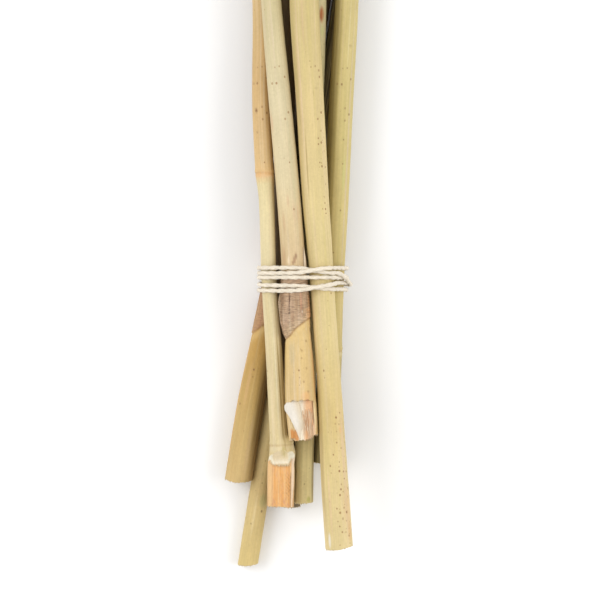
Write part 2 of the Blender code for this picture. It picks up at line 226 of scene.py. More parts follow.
# Marks on the bark: Y, degrees round the reed, half its length, half its width, its colour and
# how much of it shows. Lengths and widths in millimetres.
MARKS = {
    "slim_reed": [
        (71, 125, 0.9, 0.7, (0.24, 0.11, 0.04), 0.9), (44.0, 100, 1.3, 6.0, (0.86, 0.47, 0.18), 0.55),
        # The broad darker marks at Y 100 and 60 on the right flank are partly the bark's own colour and
        # partly painted shade.
        (100, 60, 40, 0.9, (0.60, 0.33, 0.11), 0.55), (60, 30, 30, 1.4, (0.58, 0.31, 0.09), 0.6),
        (62, 125, 0.5, 0.4, (0.35, 0.18, 0.07), 0.6), (-60, 55, 30, 0.3, (0.42, 0.27, 0.08), 0.6),
        (-52, 32, 30, 1.2, (0.60, 0.44, 0.17), 0.6), (-44, 62, 24, 0.34, (0.44, 0.28, 0.09), 0.9),
        (-48, 48, 20, 0.25, (0.50, 0.33, 0.11), 0.7), (-20, 60, 30, 0.3, (0.62, 0.48, 0.20), 0.5),
        (-40, 84, 28, 0.3, (0.96, 0.86, 0.58), 0.5), (-71.9, 66, 2.6, 0.9, (0.54, 0.44, 0.15), 0.75),
    ],
    "sheathed_reed": [
        (9.9, 76, 1.4, 0.55, (0.30, 0.15, 0.07), 0.9), (8.4, 84, 1.7, 0.7, (0.42, 0.24, 0.13), 0.8),
        (7.2, 92, 0.9, 0.6, (0.40, 0.22, 0.12), 0.7), (8.2, 113, 2.0, 0.5, (0.97, 0.78, 0.52), 0.9),
        (28, 60, 5, 1.6, (0.72, 0.47, 0.28), 0.5), (24, 125, 5, 0.7, (0.66, 0.42, 0.24), 0.5),
        (10, 140, 5, 1.0, (0.62, 0.37, 0.18), 0.6), (33, 95, 3, 0.6, (0.68, 0.44, 0.27), 0.45),
        (66, 150, 4, 1.0, (0.76, 0.50, 0.30), 0.6), (-26.0, 55, 0.55, 0.5, (0.42, 0.25, 0.09), 0.9),
        (-29.8, 78, 0.6, 0.5, (0.45, 0.28, 0.10), 0.8), (-37.4, 62, 0.5, 0.4, (0.45, 0.27, 0.10), 0.8),
        (-42.8, 88, 0.5, 0.45, (0.42, 0.26, 0.10), 0.8), (-47.0, 60, 0.7, 0.55, (0.42, 0.25, 0.10), 0.8),
        (-38, 22, 14, 0.8, (0.80, 0.40, 0.12), 0.6), (-13.4, 62, 0.8, 0.35, (0.80, 0.68, 0.50), 0.9),
        (-12, 20, 7, 1.4, (0.70, 0.34, 0.14), 0.6), (-9, 150, 9, 1.6, (0.30, 0.18, 0.10), 0.7),
        (-9.6, 112, 4.6, 0.30, (0.12, 0.05, 0.03), 0.95), (-13.9, 112, 0.5, 0.45, (0.10, 0.04, 0.02), 1.0),
        (-9.5, 65, 6.0, 0.3, (0.80, 0.36, 0.22), 0.6), (-40, 168, 18, 1.6, (0.56, 0.36, 0.09), 0.75),
        (-31, 120, 6, 1.6, (0.62, 0.50, 0.28), 0.55), (-49, 70, 2.4, 2.2, (0.86, 0.46, 0.18), 0.6),
        (50, 60, 40, 0.8, (0.62, 0.56, 0.32), 0.45), (-44, 125, 6, 1.2, (0.64, 0.48, 0.22), 0.4),
        (-57.5, 22, 7.5, 1.7, (1.0, 0.80, 0.46), 0.9),
    ],
    "thick_reed": [
        (48, 118, 15, 0.16, (0.38, 0.24, 0.09), 0.7), (20, 104, 12, 0.15, (0.45, 0.30, 0.12), 0.6),
        (80, 138, 30, 0.5, (0.76, 0.50, 0.32), 0.4), (110, 100, 14, 0.8, (0.74, 0.48, 0.28), 0.35),
        (-109, 130, 3.4, 0.7, (0.93, 0.87, 0.78), 0.85), (-63, 50, 1.6, 0.8, (0.86, 0.48, 0.18), 0.6),
        (-95, 36, 10, 2.4, (0.86, 0.56, 0.30), 0.5), (-106, 30, 5, 1.4, (0.80, 0.45, 0.20), 0.5),
        # The two marks on the next line, dark along the left flank, are painted shade.
        (60, 146, 60, 1.0, (0.52, 0.42, 0.16), 0.5), (-66, 150, 40, 1.3, (0.46, 0.33, 0.13), 0.55),
        (-94, 118, 16, 0.8, (0.86, 0.58, 0.38), 0.5),
        (-70, 40, 20, 1.2, (0.84, 0.60, 0.40), 0.45), (90, 128, 40, 0.35, (0.86, 0.62, 0.42), 0.55),
        (78, 75, 1.6, 0.25, (0.45, 0.33, 0.14), 0.5), (80, 62, 0.3, 1.1, (0.45, 0.33, 0.14), 0.5),
    ],
    "right_reed": [
        (98.7, 60, 0.6, 0.8, (0.40, 0.30, 0.12), 0.7), (60, 44, 70, 0.5, (0.74, 0.60, 0.42), 0.6),
        # The two marks on the next line, dark on the left flank beside the thick reed, are painted shade.
        (70, 112, 75, 0.8, (0.50, 0.39, 0.13), 0.6), (70, 152, 110, 3.4, (0.30, 0.22, 0.07), 0.85),
        (105, 70, 16, 0.3, (0.82, 0.72, 0.46), 0.4),
        (45, 60, 8, 0.7, (0.60, 0.62, 0.22), 0.5),
    ],
    "left_reed": [
        # The second mark on the next line, dark along the right flank under the slim reed, is painted shade.
        (-50, 165, 36, 1.3, (0.76, 0.45, 0.15), 0.7), (-46, 26, 44, 4.2, (0.26, 0.15, 0.045), 0.85),
        (-70, 70, 14, 1.0, (0.62, 0.44, 0.24), 0.4),
        (-45, 118, 10, 0.8, (0.76, 0.46, 0.22), 0.4), (-85, 60, 1.0, 1.2, (0.50, 0.38, 0.14), 0.6),
    ],
    "long_reed": [
        (-93, 60, 3.2, 2.0, (0.52, 0.48, 0.20), 0.6), (-82, 85, 0.8, 0.5, (0.52, 0.42, 0.18), 0.6),
        (-100, 100, 10, 0.7, (0.82, 0.66, 0.36), 0.5), (-112, 100, 0.4, 0.4, (0.50, 0.36, 0.16), 0.6),
    ],
    "olive_reed": [
        (112, 58, 3.6, 1.25, (0.46, 0.15, 0.04), 1.0), (105, 50, 2.4, 0.9, (0.56, 0.62, 0.22), 0.5),
        (92.5, 60, 0.4, 0.35, (0.42, 0.40, 0.16), 0.7),
        (94.0, 44, 0.4, 0.35, (0.42, 0.40, 0.16), 0.7), (-92.5, 60, 1.4, 1.0, (0.60, 0.56, 0.16), 0.7),
        # The two marks on the next line, dark along both flanks of the lower end, are painted shade.
        (-82, 22, 18, 1.3, (0.26, 0.17, 0.06), 0.8), (-80, 160, 20, 1.0, (0.30, 0.20, 0.07), 0.7),
    ],
    "back_reed": [(-40, 90, 8, 1.0, (0.36, 0.26, 0.12), 0.5)],
}

# Brown freckles: Y, degrees, half the length and width of each speckled area, and how dense.
FRECKLED = {
    "slim_reed": [(-60, 90, 30, 6, 0.05), (90, 90, 60, 8, 0.08)],
    "sheathed_reed": [(60, 90, 50, 8, 0.07), (-40, 80, 14, 6, 0.22)],
    "thick_reed": [
        (-84, 62, 36, 4.6, 0.85), (-104, 34, 16, 3.0, 0.9), (50, 45, 22, 2.4, 0.7), (-20, 60, 30, 5, 0.16),
        (95, 60, 12, 4, 0.3),
    ],
    "right_reed": [(60, 90, 80, 8, 0.10)],
    "left_reed": [(-60, 110, 30, 6, 0.08)],
    "long_reed": [(-90, 80, 30, 6, 0.16)],
    "olive_reed": [(95, 60, 14, 6, 0.35), (-80, 90, 14, 6, 0.12)],
    "back_reed": [(-60, 90, 40, 8, 0.10)],
}

# Nodes: Y, how far the ring's right side stands above its axis, and how much it swells.
NODES = {
    "slim_reed": [(44.6, -0.4, 0.22), (-69.3, 0.0, 0.12), (176.0, 0.3, 0.35)],
    "sheathed_reed": [(158.0, -0.4, 0.4)],
    "thick_reed": [(148.0, 0.5, 0.5), (262.0, -0.3, 0.35)],
    "right_reed": [(-30.0, 0.4, 0.25), (168.0, -0.5, 0.4)],
    "left_reed": [(171.0, 0.6, 0.35)],
    "long_reed": [(-8.0, 0.4, 0.25), (137.0, -0.5, 0.35), (251.0, 0.3, 0.3)],
    "olive_reed": [(22.0, 0.3, 0.25), (184.0, 0.4, 0.3)],
    "back_reed": [(-20.0, -0.3, 0.25), (129.0, 0.5, 0.35), (240.0, -0.3, 0.3)],
}

# The lower edge of a papery sheath: its Y over the axis, how far its right side stands above
# that, its upper end and its thickness.
SHEATHS = {
    "sheathed_reed": (-20.3, 4.2, 2.0, 0.34),
    "left_reed": (-18.4, 5.2, 24.0, 0.30),
}

# How crowded the bark has to be for the painted shade between the reeds to start darkening it, and to be
# fully dark. See crowding.
CROWDED = {
    "slim_reed": (1.15, 2.1), "sheathed_reed": (0.95, 1.6), "thick_reed": (1.1, 2.0),
    "right_reed": (0.85, 1.6), "left_reed": (0.85, 1.6), "long_reed": (1.35, 2.5),
    "olive_reed": (1.1, 1.9), "back_reed": (0.6, 1.3),
}

# A lower end's cut: how far its right side is cut back against its left, and how far both are
# against its middle.
LOWER_ENDS = {
    "slim_reed": (-0.2, 0.0), "sheathed_reed": (0.0, 0.0), "thick_reed": (0.4, 0.8), "right_reed": (0.2, 0.0),
    "left_reed": (0.6, 1.0), "long_reed": (0.9, 0.6), "olive_reed": (0.3, 0.2), "back_reed": (-0.1, 0.0),
}

# Stretches that need fine rings, besides the nodes, the sheaths' edges and the ends.
FINE_STRETCHES = {"sheathed_reed": [(-67.0, -50.0), (-15.0, -4.0)], "slim_reed": [(-80.0, -68.0)]}

BROKEN_FROM = -50.8  # above this Y the sheathed reed's bark is whole
BROKEN_END = -67.0
TORN_HEIGHT = 3.2  # of the torn fibres over the sheathed reed's axis
TORN_TROUGH = 0.3
LINING_THICKNESS = 0.5
STRIP_LENGTH = 11.5  # of the strip of bark left at the right of the broken end
SHAVED_HEIGHT = 21.6  # of the slim reed's heel over the floor
SHAVED_FROM = -75.3  # Y at which the flat heel gives way to the pale scoop, at the heel's sides
SHAVED_TONGUE = 2.2  # how much further the pale scoop reaches down in the middle of the heel
HEEL_END = -95.3
COLLAR = -69.4
OUT_OF_REACH = 8.0  # how far a break's or a cut's limit is raised where the bark is whole
CRACK_DEGREES = 112  # where the papery band's crack runs
FLARE_DEGREES = 172  # where the band's edge flares
WRINKLE_SPACING = 1.15
FOLD_DEGREES = 60  # where the slim reed's long sheath edge runs
SHOULDER_DEGREES = 8  # where its heel is widest
SHADE_IN_GAPS = (0.14, 0.10, 0.05)  # what the painted shade in the gaps leaves of the bark's colour
CROWD_REACH = 2.5  # how far from a reed its neighbours' bark is darkened by the painted shade


def smoothstep(low, high, value):
    t = np.clip((value - low) / (high - low), 0.0, 1.0)
    return t * t * (3 - 2 * t)


def along_course(course, y):
    """X, Z and radius of the smooth curve through a course's points, at each distance y."""
    table = np.array(course, float)
    places, values = table[:, 0], table[:, 1:]
    low = np.maximum(np.arange(len(table)) - 1, 0)
    high = np.minimum(np.arange(len(table)) + 1, len(table) - 1)
    slopes = (values[high] - values[low]) / (places[high] - places[low])[:, None]
    y = np.atleast_1d(np.asarray(y, float))
    i = np.clip(np.searchsorted(places, y) - 1, 0, len(table) - 2)
    span = (places[i + 1] - places[i])[:, None]
    t = ((y - places[i]) / span[:, 0])[:, None]
    return (
        (2 * t**3 - 3 * t**2 + 1) * values[i] + (t**3 - 2 * t**2 + t) * span * slopes[i]
        + (3 * t**2 - 2 * t**3) * values[i + 1] + (t**3 - t**2) * span * slopes[i + 1]
    )


def ripple(angle, y, rng, counts, lengths, total=6):
    """A smooth uneven pattern round and along a reed, between about -1 and 1."""
    made = np.zeros(np.broadcast(angle, y).shape)
    for _ in range(total):
        count = rng.integers(counts[0], counts[1] + 1)
        length = rng.uniform(*lengths) * rng.choice([-1, 1])
        made += np.cos(count * angle + 2 * math.pi * y / length + rng.uniform(0, 2 * math.pi))
    return made / math.sqrt(2 * total)


def spot(y, degrees, radius, mark):
    """How far each point is inside a mark: 1 at its middle and 0 outside it."""
    turn = (degrees - mark[1] + 180) % 360 - 180
    across = np.radians(turn) * radius
    away = np.sqrt(((y - mark[0]) / mark[2]) ** 2 + (across / mark[3]) ** 2)
    return 1 - smoothstep(0.45, 1.25, away)


def bell(distance, width):
    return np.exp(-((distance / width) ** 2))


def mix(colour, other, share):
    return colour + (np.asarray(other) - colour) * share[..., None]


def layered(colour, layers):
    """The colour with others laid over it in turn, each given with its share."""
    for other, share in layers:
        colour = mix(colour, other, share)
    return colour


def filled(colour, shape):
    return np.broadcast_to(colour, shape + (3,))


def pick(rng, colours):
    return colours[rng.integers(len(colours))]


class Pieces:
    """Points, faces of four and of three corners, and their values, gathered for one mesh."""

    def __init__(self):
        self.points, self.quads, self.triangles, self.quad_uvs, self.triangle_uvs = [], [], [], [], []
        self.values = {key: [] for key in ATTRIBUTES}
        self.count = 0
        self.extras = 0

    def add(self, points, quads, triangles, quad_uvs, triangle_uvs, tint, bare, straight=None, more=None):
        """Adds a closed part; straight is where its points would be if the reed or string were straight."""
        total = len(points)
        more = more or {}
        straight = points if straight is None else straight
        self.points.append(points)
        self.quads.append(np.asarray(quads).reshape(-1, 4) + self.count)
        self.triangles.append(np.asarray(triangles, int).reshape(-1, 3) + self.count)
        self.quad_uvs.append(quad_uvs.reshape(-1, 2))
        self.triangle_uvs.append(np.asarray(triangle_uvs, float).reshape(-1, 2))
        self.values["straight"].append(straight)
        self.values["tint"].append(TONE * np.broadcast_to(tint, (total, 3)))
        self.values["bare"].append(np.broadcast_to(bare, total))
        self.values["wrapped"].append(more.get("wrapped", straight))
        for key in ("freckles", "papery"):
            self.values[key].append(np.broadcast_to(more.get(key, 0.0), total))
        self.count += total

    def tube(self, points, uv_of, tint, bare, straight, more=None):
        """A closed tube of a row of points for each ring; the first and the last ring are one point each."""
        rings, sides = points.shape[:2]
        kept = slice(sides - 1, rings * sides - sides + 1)
        index = np.clip(np.arange(rings * sides) - (sides - 1), 0, (rings - 2) * sides + 1)
        index = index.reshape(rings, sides)
        ahead = np.roll(index, -1, axis=1)
        quads = np.stack([index[1:-2], ahead[1:-2], ahead[2:-1], index[2:-1]], -1)
        first = np.stack([index[0], ahead[1], index[1]], -1)
        last = np.stack([index[-2], ahead[-2], index[-1]], -1)
        side = np.arange(sides)
        quad_uvs = uv_of(np.repeat(np.arange(1, rings - 2), sides), np.tile(side, rings - 3))
        start, end = uv_of(np.zeros(sides, int), side), uv_of(np.full(sides, rings - 2), side)
        triangle_uvs = np.concatenate([start[:, [0, 2, 3]], end[:, [0, 1, 3]]])
        values = {}
        for key, value in (more or {}).items():
            values[key] = value.reshape((rings * sides,) + value.shape[2:])[kept]
        self.add(
            points.reshape(-1, 3)[kept], quads, np.concatenate([first, last]), quad_uvs, triangle_uvs,
            tint.reshape(-1, 3)[kept], bare.ravel()[kept], straight.reshape(-1, 3)[kept], values,
        )

    def slab(self, top, thickness, tint):
        """A closed thin sheet under a grid of points."""
        rows, columns = top.shape[:2]
        bottom = top - (0, 0, thickness)
        index = np.arange(rows * columns).reshape(rows, columns)
        upper = np.stack([index[:-1, :-1], index[:-1, 1:], index[1:, 1:], index[1:, :-1]], -1)
        lower = upper[..., ::-1] + rows * columns
        rim = np.concatenate([index[0, :-1], index[:-1, -1], index[-1, :0:-1], index[:0:-1, 0]])
        after = np.roll(rim, -1)
        walls = np.stack([after, rim, rim + rows * columns, after + rows * columns], -1)
        quads = np.concatenate([upper.reshape(-1, 4), lower.reshape(-1, 4), walls])
        u, v = np.meshgrid(np.linspace(0, 1, columns), np.linspace(0, 1, rows))
        place = np.stack([u, v], -1).reshape(-1, 2)
        place = np.concatenate([place * (1, 0.5), place * (1, 0.5) + (0, 0.5)])
        points = np.concatenate([top.reshape(-1, 3), bottom.reshape(-1, 3)])
        tints = np.concatenate([tint.reshape(-1, 3)] * 2)
        self.add(points, quads, [], self.extra_cell(place)[quads], [], tints, 1.0)

    def extra_cell(self, place):
        """Places in a small cell of its own at the right of the UV map."""
        row, column = divmod(self.extras % (EXTRA_COLUMNS * EXTRA_ROWS), EXTRA_COLUMNS)
        self.extras += 1
        width = (1 - MAIN_WIDTH) / EXTRA_COLUMNS
        corner = np.array([MAIN_WIDTH + EXTRA_GAP + width * column, row / EXTRA_ROWS])
        return corner + EXTRA_FILL * place * (width, 1 / EXTRA_ROWS)

    def sliver(self, start, end, width, tint, bend=(0, 0, 0)):
        """A thin splinter of rings of four sides, with a pointed end."""
        start, end = np.array(start, float), np.array(end, float)
        rings = len(SPLINTER) - 1
        tip_index = 4 * rings
        share = np.linspace(0, 1, rings + 1)[:, None]
        axis = start + (end - start) * share + np.array(bend) * np.sin(math.pi * share)
        along = (end - start) / np.linalg.norm(end - start)
        side = np.cross(along, (0, 0, 1.0))
        side /= max(np.linalg.norm(side), 1e-6)
        up = np.cross(side, along)
        thin = np.array(SPLINTER)[:, None, None] * width
        turn = np.radians([45, 135, 225, 315])[None, :, None]
        ring = np.cos(turn) * side + 0.55 * np.sin(turn) * up
        points = (axis[:, None] + ring * thin).reshape(-1, 3)[:tip_index + 1]
        index = np.arange(tip_index).reshape(rings, 4)
        ahead = np.roll(index, -1, axis=1)
        quads = np.stack([index[:-1], index[1:], ahead[1:], ahead[:-1]], -1).reshape(-1, 4)
        quads = np.concatenate([quads, [[0, 1, 2, 3]]])
        tip = np.stack([index[-1], np.full(4, tip_index), ahead[-1]], -1)
        place = np.stack([np.tile(np.linspace(0, 1, 4), rings + 1), np.repeat(share[:, 0], 4)], -1)
        cell = self.extra_cell(place[:tip_index + 1])
        self.add(points, quads, tip, cell[quads], cell[tip], tint, 1.0)

    def mesh(self, name):
        """One mesh of everything gathered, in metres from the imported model's origin."""
        points = np.concatenate(self.points)
        points[:, 2] = np.maximum(points[:, 2], LEAST_HEIGHT)
        quads, triangles = np.concatenate(self.quads), np.concatenate(self.triangles)
        uvs = np.concatenate(self.quad_uvs + self.triangle_uvs)
        corners = np.concatenate([quads.ravel(), triangles.ravel()])
        starts = np.concatenate([np.arange(len(quads)) * 4, quads.size + np.arange(len(triangles)) * 3])
        made = bpy.data.meshes.new(name)
        made.vertices.add(len(points))
        made.vertices.foreach_set("co", ((points + TIE_FROM_ORIGIN) * MM).astype(np.float32).ravel())
        made.loops.add(len(corners))
        made.loops.foreach_set("vertex_index", corners.astype(np.int32))
        made.polygons.add(len(starts))
        made.polygons.foreach_set("loop_start", starts.astype(np.int32))
        made.uv_layers.new(name=BAKE_MAP)
        made.uv_layers[BAKE_MAP].uv.foreach_set("vector", uvs.astype(np.float32).ravel())
        for key, (kind, field) in ATTRIBUTES.items():
            values = np.concatenate(self.values[key])
            if kind == "FLOAT_COLOR":
                values = np.column_stack([values, np.ones(len(values))])
            attribute = made.attributes.new(key, kind, "POINT")
            attribute.data.foreach_set(field, values.astype(np.float32).ravel())
        made.update(calc_edges=True)
        made.validate()
        made.shade_smooth()
        return made


def ring_places(name):
    """Y of each ring of the bark, closest where there is the most to see."""
    first, last = COURSES[name][0][0], COURSES[name][-1][0]
    fine = [(first, first + 2.5), (last - 2.5, last)]
    fine += [(y - 2.0, y + 2.0) for y, _, _ in NODES[name]]
    if name in SHEATHS:
        edge, tilt, _, _ = SHEATHS[name]
        fine.append((edge - abs(tilt) - 1, edge + abs(tilt) + 1))
    fine += FINE_STRETCHES.get(name, [])
    made, y = [], first
    while y < last:
        made.append(y)
        if any(low <= y < high for low, high in fine):
            y += FINE_SPACING
        else:
            y += SEEN_SPACING if y < SEEN_TO else FAR_SPACING
    if last - made[-1] < FINE_SPACING / 2:
        made.pop()
    return np.array(made + [last])


def sweep(name):
    """Y of each ring and its share of the radius, from the lower hollow over the bark to the upper one."""
    bark = ring_places(name)
    first, last = bark[0], bark[-1]
    inner = 1 - WALL_SHARE
    hollow = [(LUMEN_DEPTH, 0.0), (LUMEN_DEPTH, 0.4), (LUMEN_DEPTH, inner)]  # depth and share
    hollow += [(LUMEN_DEPTH * k / 8, inner) for k in range(7, 0, -1)]
    hollow += [(0.5, inner), (0.12, inner + 0.01), (0.0, inner + 0.05)]
    hollow += [(0.0, inner + 0.12), (0.0, inner + 0.2), (0.06, 0.985)]
    if name == "slim_reed":
        lower = [(first + 0.2, 0.0), (first + 0.1, 0.35), (first, 0.7), (first, 0.9), (first + 0.02, 0.97)]
    else:
        lower = [(first + depth, share) for depth, share in hollow]
    middle = [(first + 0.25, 1.0)] + [(y, 1.0) for y in bark[1:-1]] + [(last - 0.25, 1.0)]
    upper = [(last - depth, share) for depth, share in reversed(hollow)]
    rings = np.array(lower + middle + upper)
    return rings[:, 0], rings[:, 1]


def sheath_cover(name, y, angle):
    """How far above the sheath's lower edge each point is, in mm, and how much of the sheath is there."""
    edge, tilt, top, _ = SHEATHS[name]
    above = y - (edge + tilt * np.cos(angle))
    return above, smoothstep(0.0, 0.35, above) * (1 - smoothstep(top - 2, top, y))


def relief(name, y, angle, radius, rng):
    """How far the bark stands out from its smooth round shape, in mm."""
    out = 0.022 * ripple(angle, y, rng, (13, 26), (500, 1500), 8)
    out += 0.018 * radius * ripple(angle, y, rng, (1, 3), (60, 200))
    out += 0.010 * ripple(angle, y, rng, (28, 40), (200, 700), 6)
    out += 0.02 * ripple(angle, y, rng, (0, 5), (7, 20), 6)
    for place, tilt, swell in NODES[name]:
        away = y - place - tilt * np.cos(angle)
        out = out + swell * bell(away, 2.4) - 0.14 * bell(away, 0.45)
        out = out + 0.10 * bell(away - 0.9, 0.5)
    if name in SHEATHS:
        above, cover = sheath_cover(name, y, angle)
        out += SHEATHS[name][3] * cover - 0.16 * bell(above, 0.35)
    if name == "sheathed_reed":
        out += band_relief(y, angle, radius, rng)
    if name == "slim_reed":
        out += sheath_fold(y, angle, radius)
    return out


def band_relief(y, angle, radius, rng):
    """Fine wrinkles across the sheathed reed's papery band, its crack and its flared left edge."""
    band = smoothstep(-17.0, -13.0, y) * (1 - smoothstep(-2.0, 0.0, y))
    wrinkles = np.cos(2 * math.pi * y / WRINKLE_SPACING + 1.3 * ripple(angle, y, rng, (1, 4), (20, 60)))
    out = band * (0.08 * wrinkles + 0.05 * ripple(angle, y, rng, (8, 20), (6, 14), 8))
    crack = np.radians(np.degrees(angle) - CRACK_DEGREES) * radius + 0.10 * np.sin(y * 1.3)
    out -= 0.40 * bell(crack, 0.30) * smoothstep(-14.6, -13.6, y) * (1 - smoothstep(-5, -2, y))
    flare = bell(np.degrees(angle) - FLARE_DEGREES, 24)
    flared = 0.7 * bell(y + 9.0, 4.0) - 0.9 * bell(y + 21.5, 3.0)
    return out + flare * flared


def sheath_fold(y, angle, radius):
    """The slim reed's long sheath edge above its collar, at its upper right, and its heel's shoulder."""
    across = np.radians(np.degrees(angle) - FOLD_DEGREES) * radius
    there = smoothstep(-68.5, -66.0, y) * (1 - smoothstep(-30.0, -18.0, y))
    fold = -0.22 * bell(across, 0.28)
    ridged = 0.1 * np.cos(across * 6.5) * (across < -0.3) * (across > -4)
    shoulder = bell(np.degrees(angle) - SHOULDER_DEGREES, 30) * smoothstep(-64.8, -66.6, y)
    return there * (fold + ridged) + 1.9 * shoulder * (1 - smoothstep(-72.0, -78.0, y))


def broken_back(aside):
    """How much shorter the sheathed reed is broken at its right and left sides; aside runs from -1 to 1."""
    return 2.1 * smoothstep(0.45, 0.85, aside) + 0.5 * smoothstep(0.4, 0.9, -aside)


def ragged(name, angle, rng):
    """How far a cut end's rim is uneven along the reed, in mm, at its lower and its upper end."""
    lower = 0.18 * ripple(angle, 0.0, rng, (3, 30), (1, 2), 14)
    upper = 0.15 * ripple(angle, 0.0, rng, (3, 30), (1, 2), 14)
    slant, bow = LOWER_ENDS[name]
    lower = lower + slant * np.cos(angle) + bow * np.cos(angle) ** 2
    if name == "sheathed_reed":
        lower = 3.0 * lower + broken_back(np.cos(angle))
    return lower, upper


def torn_limit(across):
    """Height over its axis of the sheathed reed's broken top, a shallow trough of torn fibres."""
    return TORN_HEIGHT - TORN_TROUGH * bell(across - 0.8, 3.0)


def shaved_from(across):
    """Y at which the slim reed's flat shaved heel gives way to its pale scoop."""
    return SHAVED_FROM - SHAVED_TONGUE * (1 - smoothstep(3.2, 4.6, np.abs(across)))


def broken_limit(y, angle, across, inside, rng):
    """Height over its axis that the sheathed reed's break leaves, with a strip of bark at its right."""
    edge = BROKEN_FROM - 0.5 * ripple(angle, 0.0, rng, (6, 24), (1, 2), 10)
    edge = edge - STRIP_LENGTH * smoothstep(0.80, 0.90, across / 6.4)
    fibres = 0.16 * np.cos(across * 7.0 + 0.9 * np.sin(y * 0.35)) + 0.08 * np.cos(across * 15 + y * 0.4)
    limit = torn_limit(across) + fibres - LINING_THICKNESS * inside
    return limit + OUT_OF_REACH * smoothstep(0.0, 0.6, y - edge)


def shaved_limit(y, across, z):
    """Height over its axis that is left of the slim reed's heel, of the scoop above it and of the collar."""
    grain = 0.07 * np.cos(across * 4.3 + 0.5 * np.sin(y * 0.3)) + 0.04 * np.cos(across * 11 + y * 0.2)
    limit = SHAVED_HEIGHT + grain - z
    scoop = smoothstep(shaved_from(across), COLLAR - 0.3, y)
    step = 0.5 * smoothstep(-0.6, 0.4, y - shaved_from(across))
    hollow = 0.7 * bell(across - 1.8, 1.0) * bell(y + 72.3, 1.8)
    return limit + step + 4.0 * scoop**1.6 - hollow + OUT_OF_REACH * smoothstep(-0.2, 0.3, y - COLLAR)


def shape_ends(name, y, angle, across, up, inside, z, rng):
    """Breaks open the sheathed reed's end and shaves the slim reed's heel."""
    if name == "sheathed_reed":
        return np.minimum(up, broken_limit(y, angle, across, inside, rng))
    if name == "slim_reed":
        return np.minimum(up, shaved_limit(y, across, z))
    return up


def crowding(name, points):
    """How closely the other reeds stand round each point: 0 in the open, and over 1 deep in the bundle."""
    x, y, z = (points[..., k].ravel() for k in range(3))
    total = np.zeros(len(y))
    for other, course in COURSES.items():
        if other != name:
            first, last = course[0][0], course[-1][0]
            place = along_course(course, np.clip(y, first, last))
            away = np.hypot(x - place[:, 0], z - place[:, 1]) - place[:, 2]
            past = np.maximum(np.maximum(first - y, y - last), 0.0)
            total += np.exp(-(np.maximum(away, 0.0) + past) / CROWD_REACH)
    return total.reshape(points.shape[:-1])


def paint(name, y, angle, across, radius, share, cut, rng):
    """The colour, bareness and freckles of each point of a reed."""
    degrees = np.degrees(angle)
    places = [place for place, _ in BARK[name]]
    colour = np.stack([np.interp(y, places, [c[k] for _, c in BARK[name]]) for k in range(3)], -1)
    for place, tilt, _ in NODES[name]:
        away = y - place - tilt * np.cos(angle)
        colour = layered(colour, [
            ((0.46, 0.28, 0.12), 0.45 * bell(away, 0.45)), ((0.84, 0.72, 0.48), 0.4 * bell(away + 1.2, 0.9)),
        ])
    if name in SHEATHS:
        colour = paint_sheath(name, colour, y, angle, rng)
    for mark in MARKS[name]:
        colour = mix(colour, mark[4], mark[5] * spot(y, degrees, radius, mark))
    freckles = np.zeros(y.shape)
    for area in FRECKLED[name]:
        freckles = np.maximum(freckles, area[4] * spot(y, degrees, radius, area))
    bare = np.clip((0.99 - share) / 0.02, 0.0, 1.0)
    inside = smoothstep(1 - WALL_SHARE + 0.03, 1 - WALL_SHARE, share)
    colour = layered(colour, [(CUT_WOOD, bare), (HOLLOW, inside)])
    wood = cut * (share > 0.98)
    if name == "sheathed_reed":
        colour = mix(colour, torn_colour(y, across), wood)
    if name == "slim_reed":
        colour = mix(colour, heel_colour(y, across), wood)
    return colour, np.maximum(bare, wood), freckles * (1 - np.maximum(bare, wood))


def papery_share(name, y, angle):
    """How papery the bark is: fully or partly so on a sheath, and not at all elsewhere."""
    if name not in SHEATHS:
        return np.zeros(np.broadcast(y, angle).shape)
    return sheath_cover(name, y, angle)[1] * {"sheathed_reed": 1.0, "left_reed": 0.5}[name]


def paint_sheath(name, colour, y, angle, rng):
    """The bark's colour with the reed's sheath, its dark lower edge and the golden bark under that."""
    above, cover = sheath_cover(name, y, angle)
    aside = np.cos(angle)
    if name == "sheathed_reed":
        brown = 0.5 + 0.5 * ripple(angle, y, rng, (1, 6), (8, 30), 8)
        sheath = layered(filled(SHEATH_BROWN, y.shape), [
            ((0.66, 0.45, 0.30), np.clip(brown, 0, 1)),
            ((0.66, 0.47, 0.27), 0.6 * (1 - smoothstep(1.0, 5.0, above))),
            ((0.80, 0.42, 0.18), 0.7 * smoothstep(0.45, 0.95, aside) * (y < -12)),
        ])
    else:
        brown = 0.6 * smoothstep(0.2, -0.8, aside)
        sheath = mix(filled((0.54, 0.26, 0.11), y.shape), (0.46, 0.27, 0.16), brown)
    return layered(colour, [
        (sheath, cover),
        ((0.40, 0.19, 0.06), 0.85 * bell(above + 0.15, 0.42) * (y < 0)),
        ((0.86, 0.60, 0.24), 0.45 * bell(above + 2.2, 1.8) * (above < 0)),
    ])


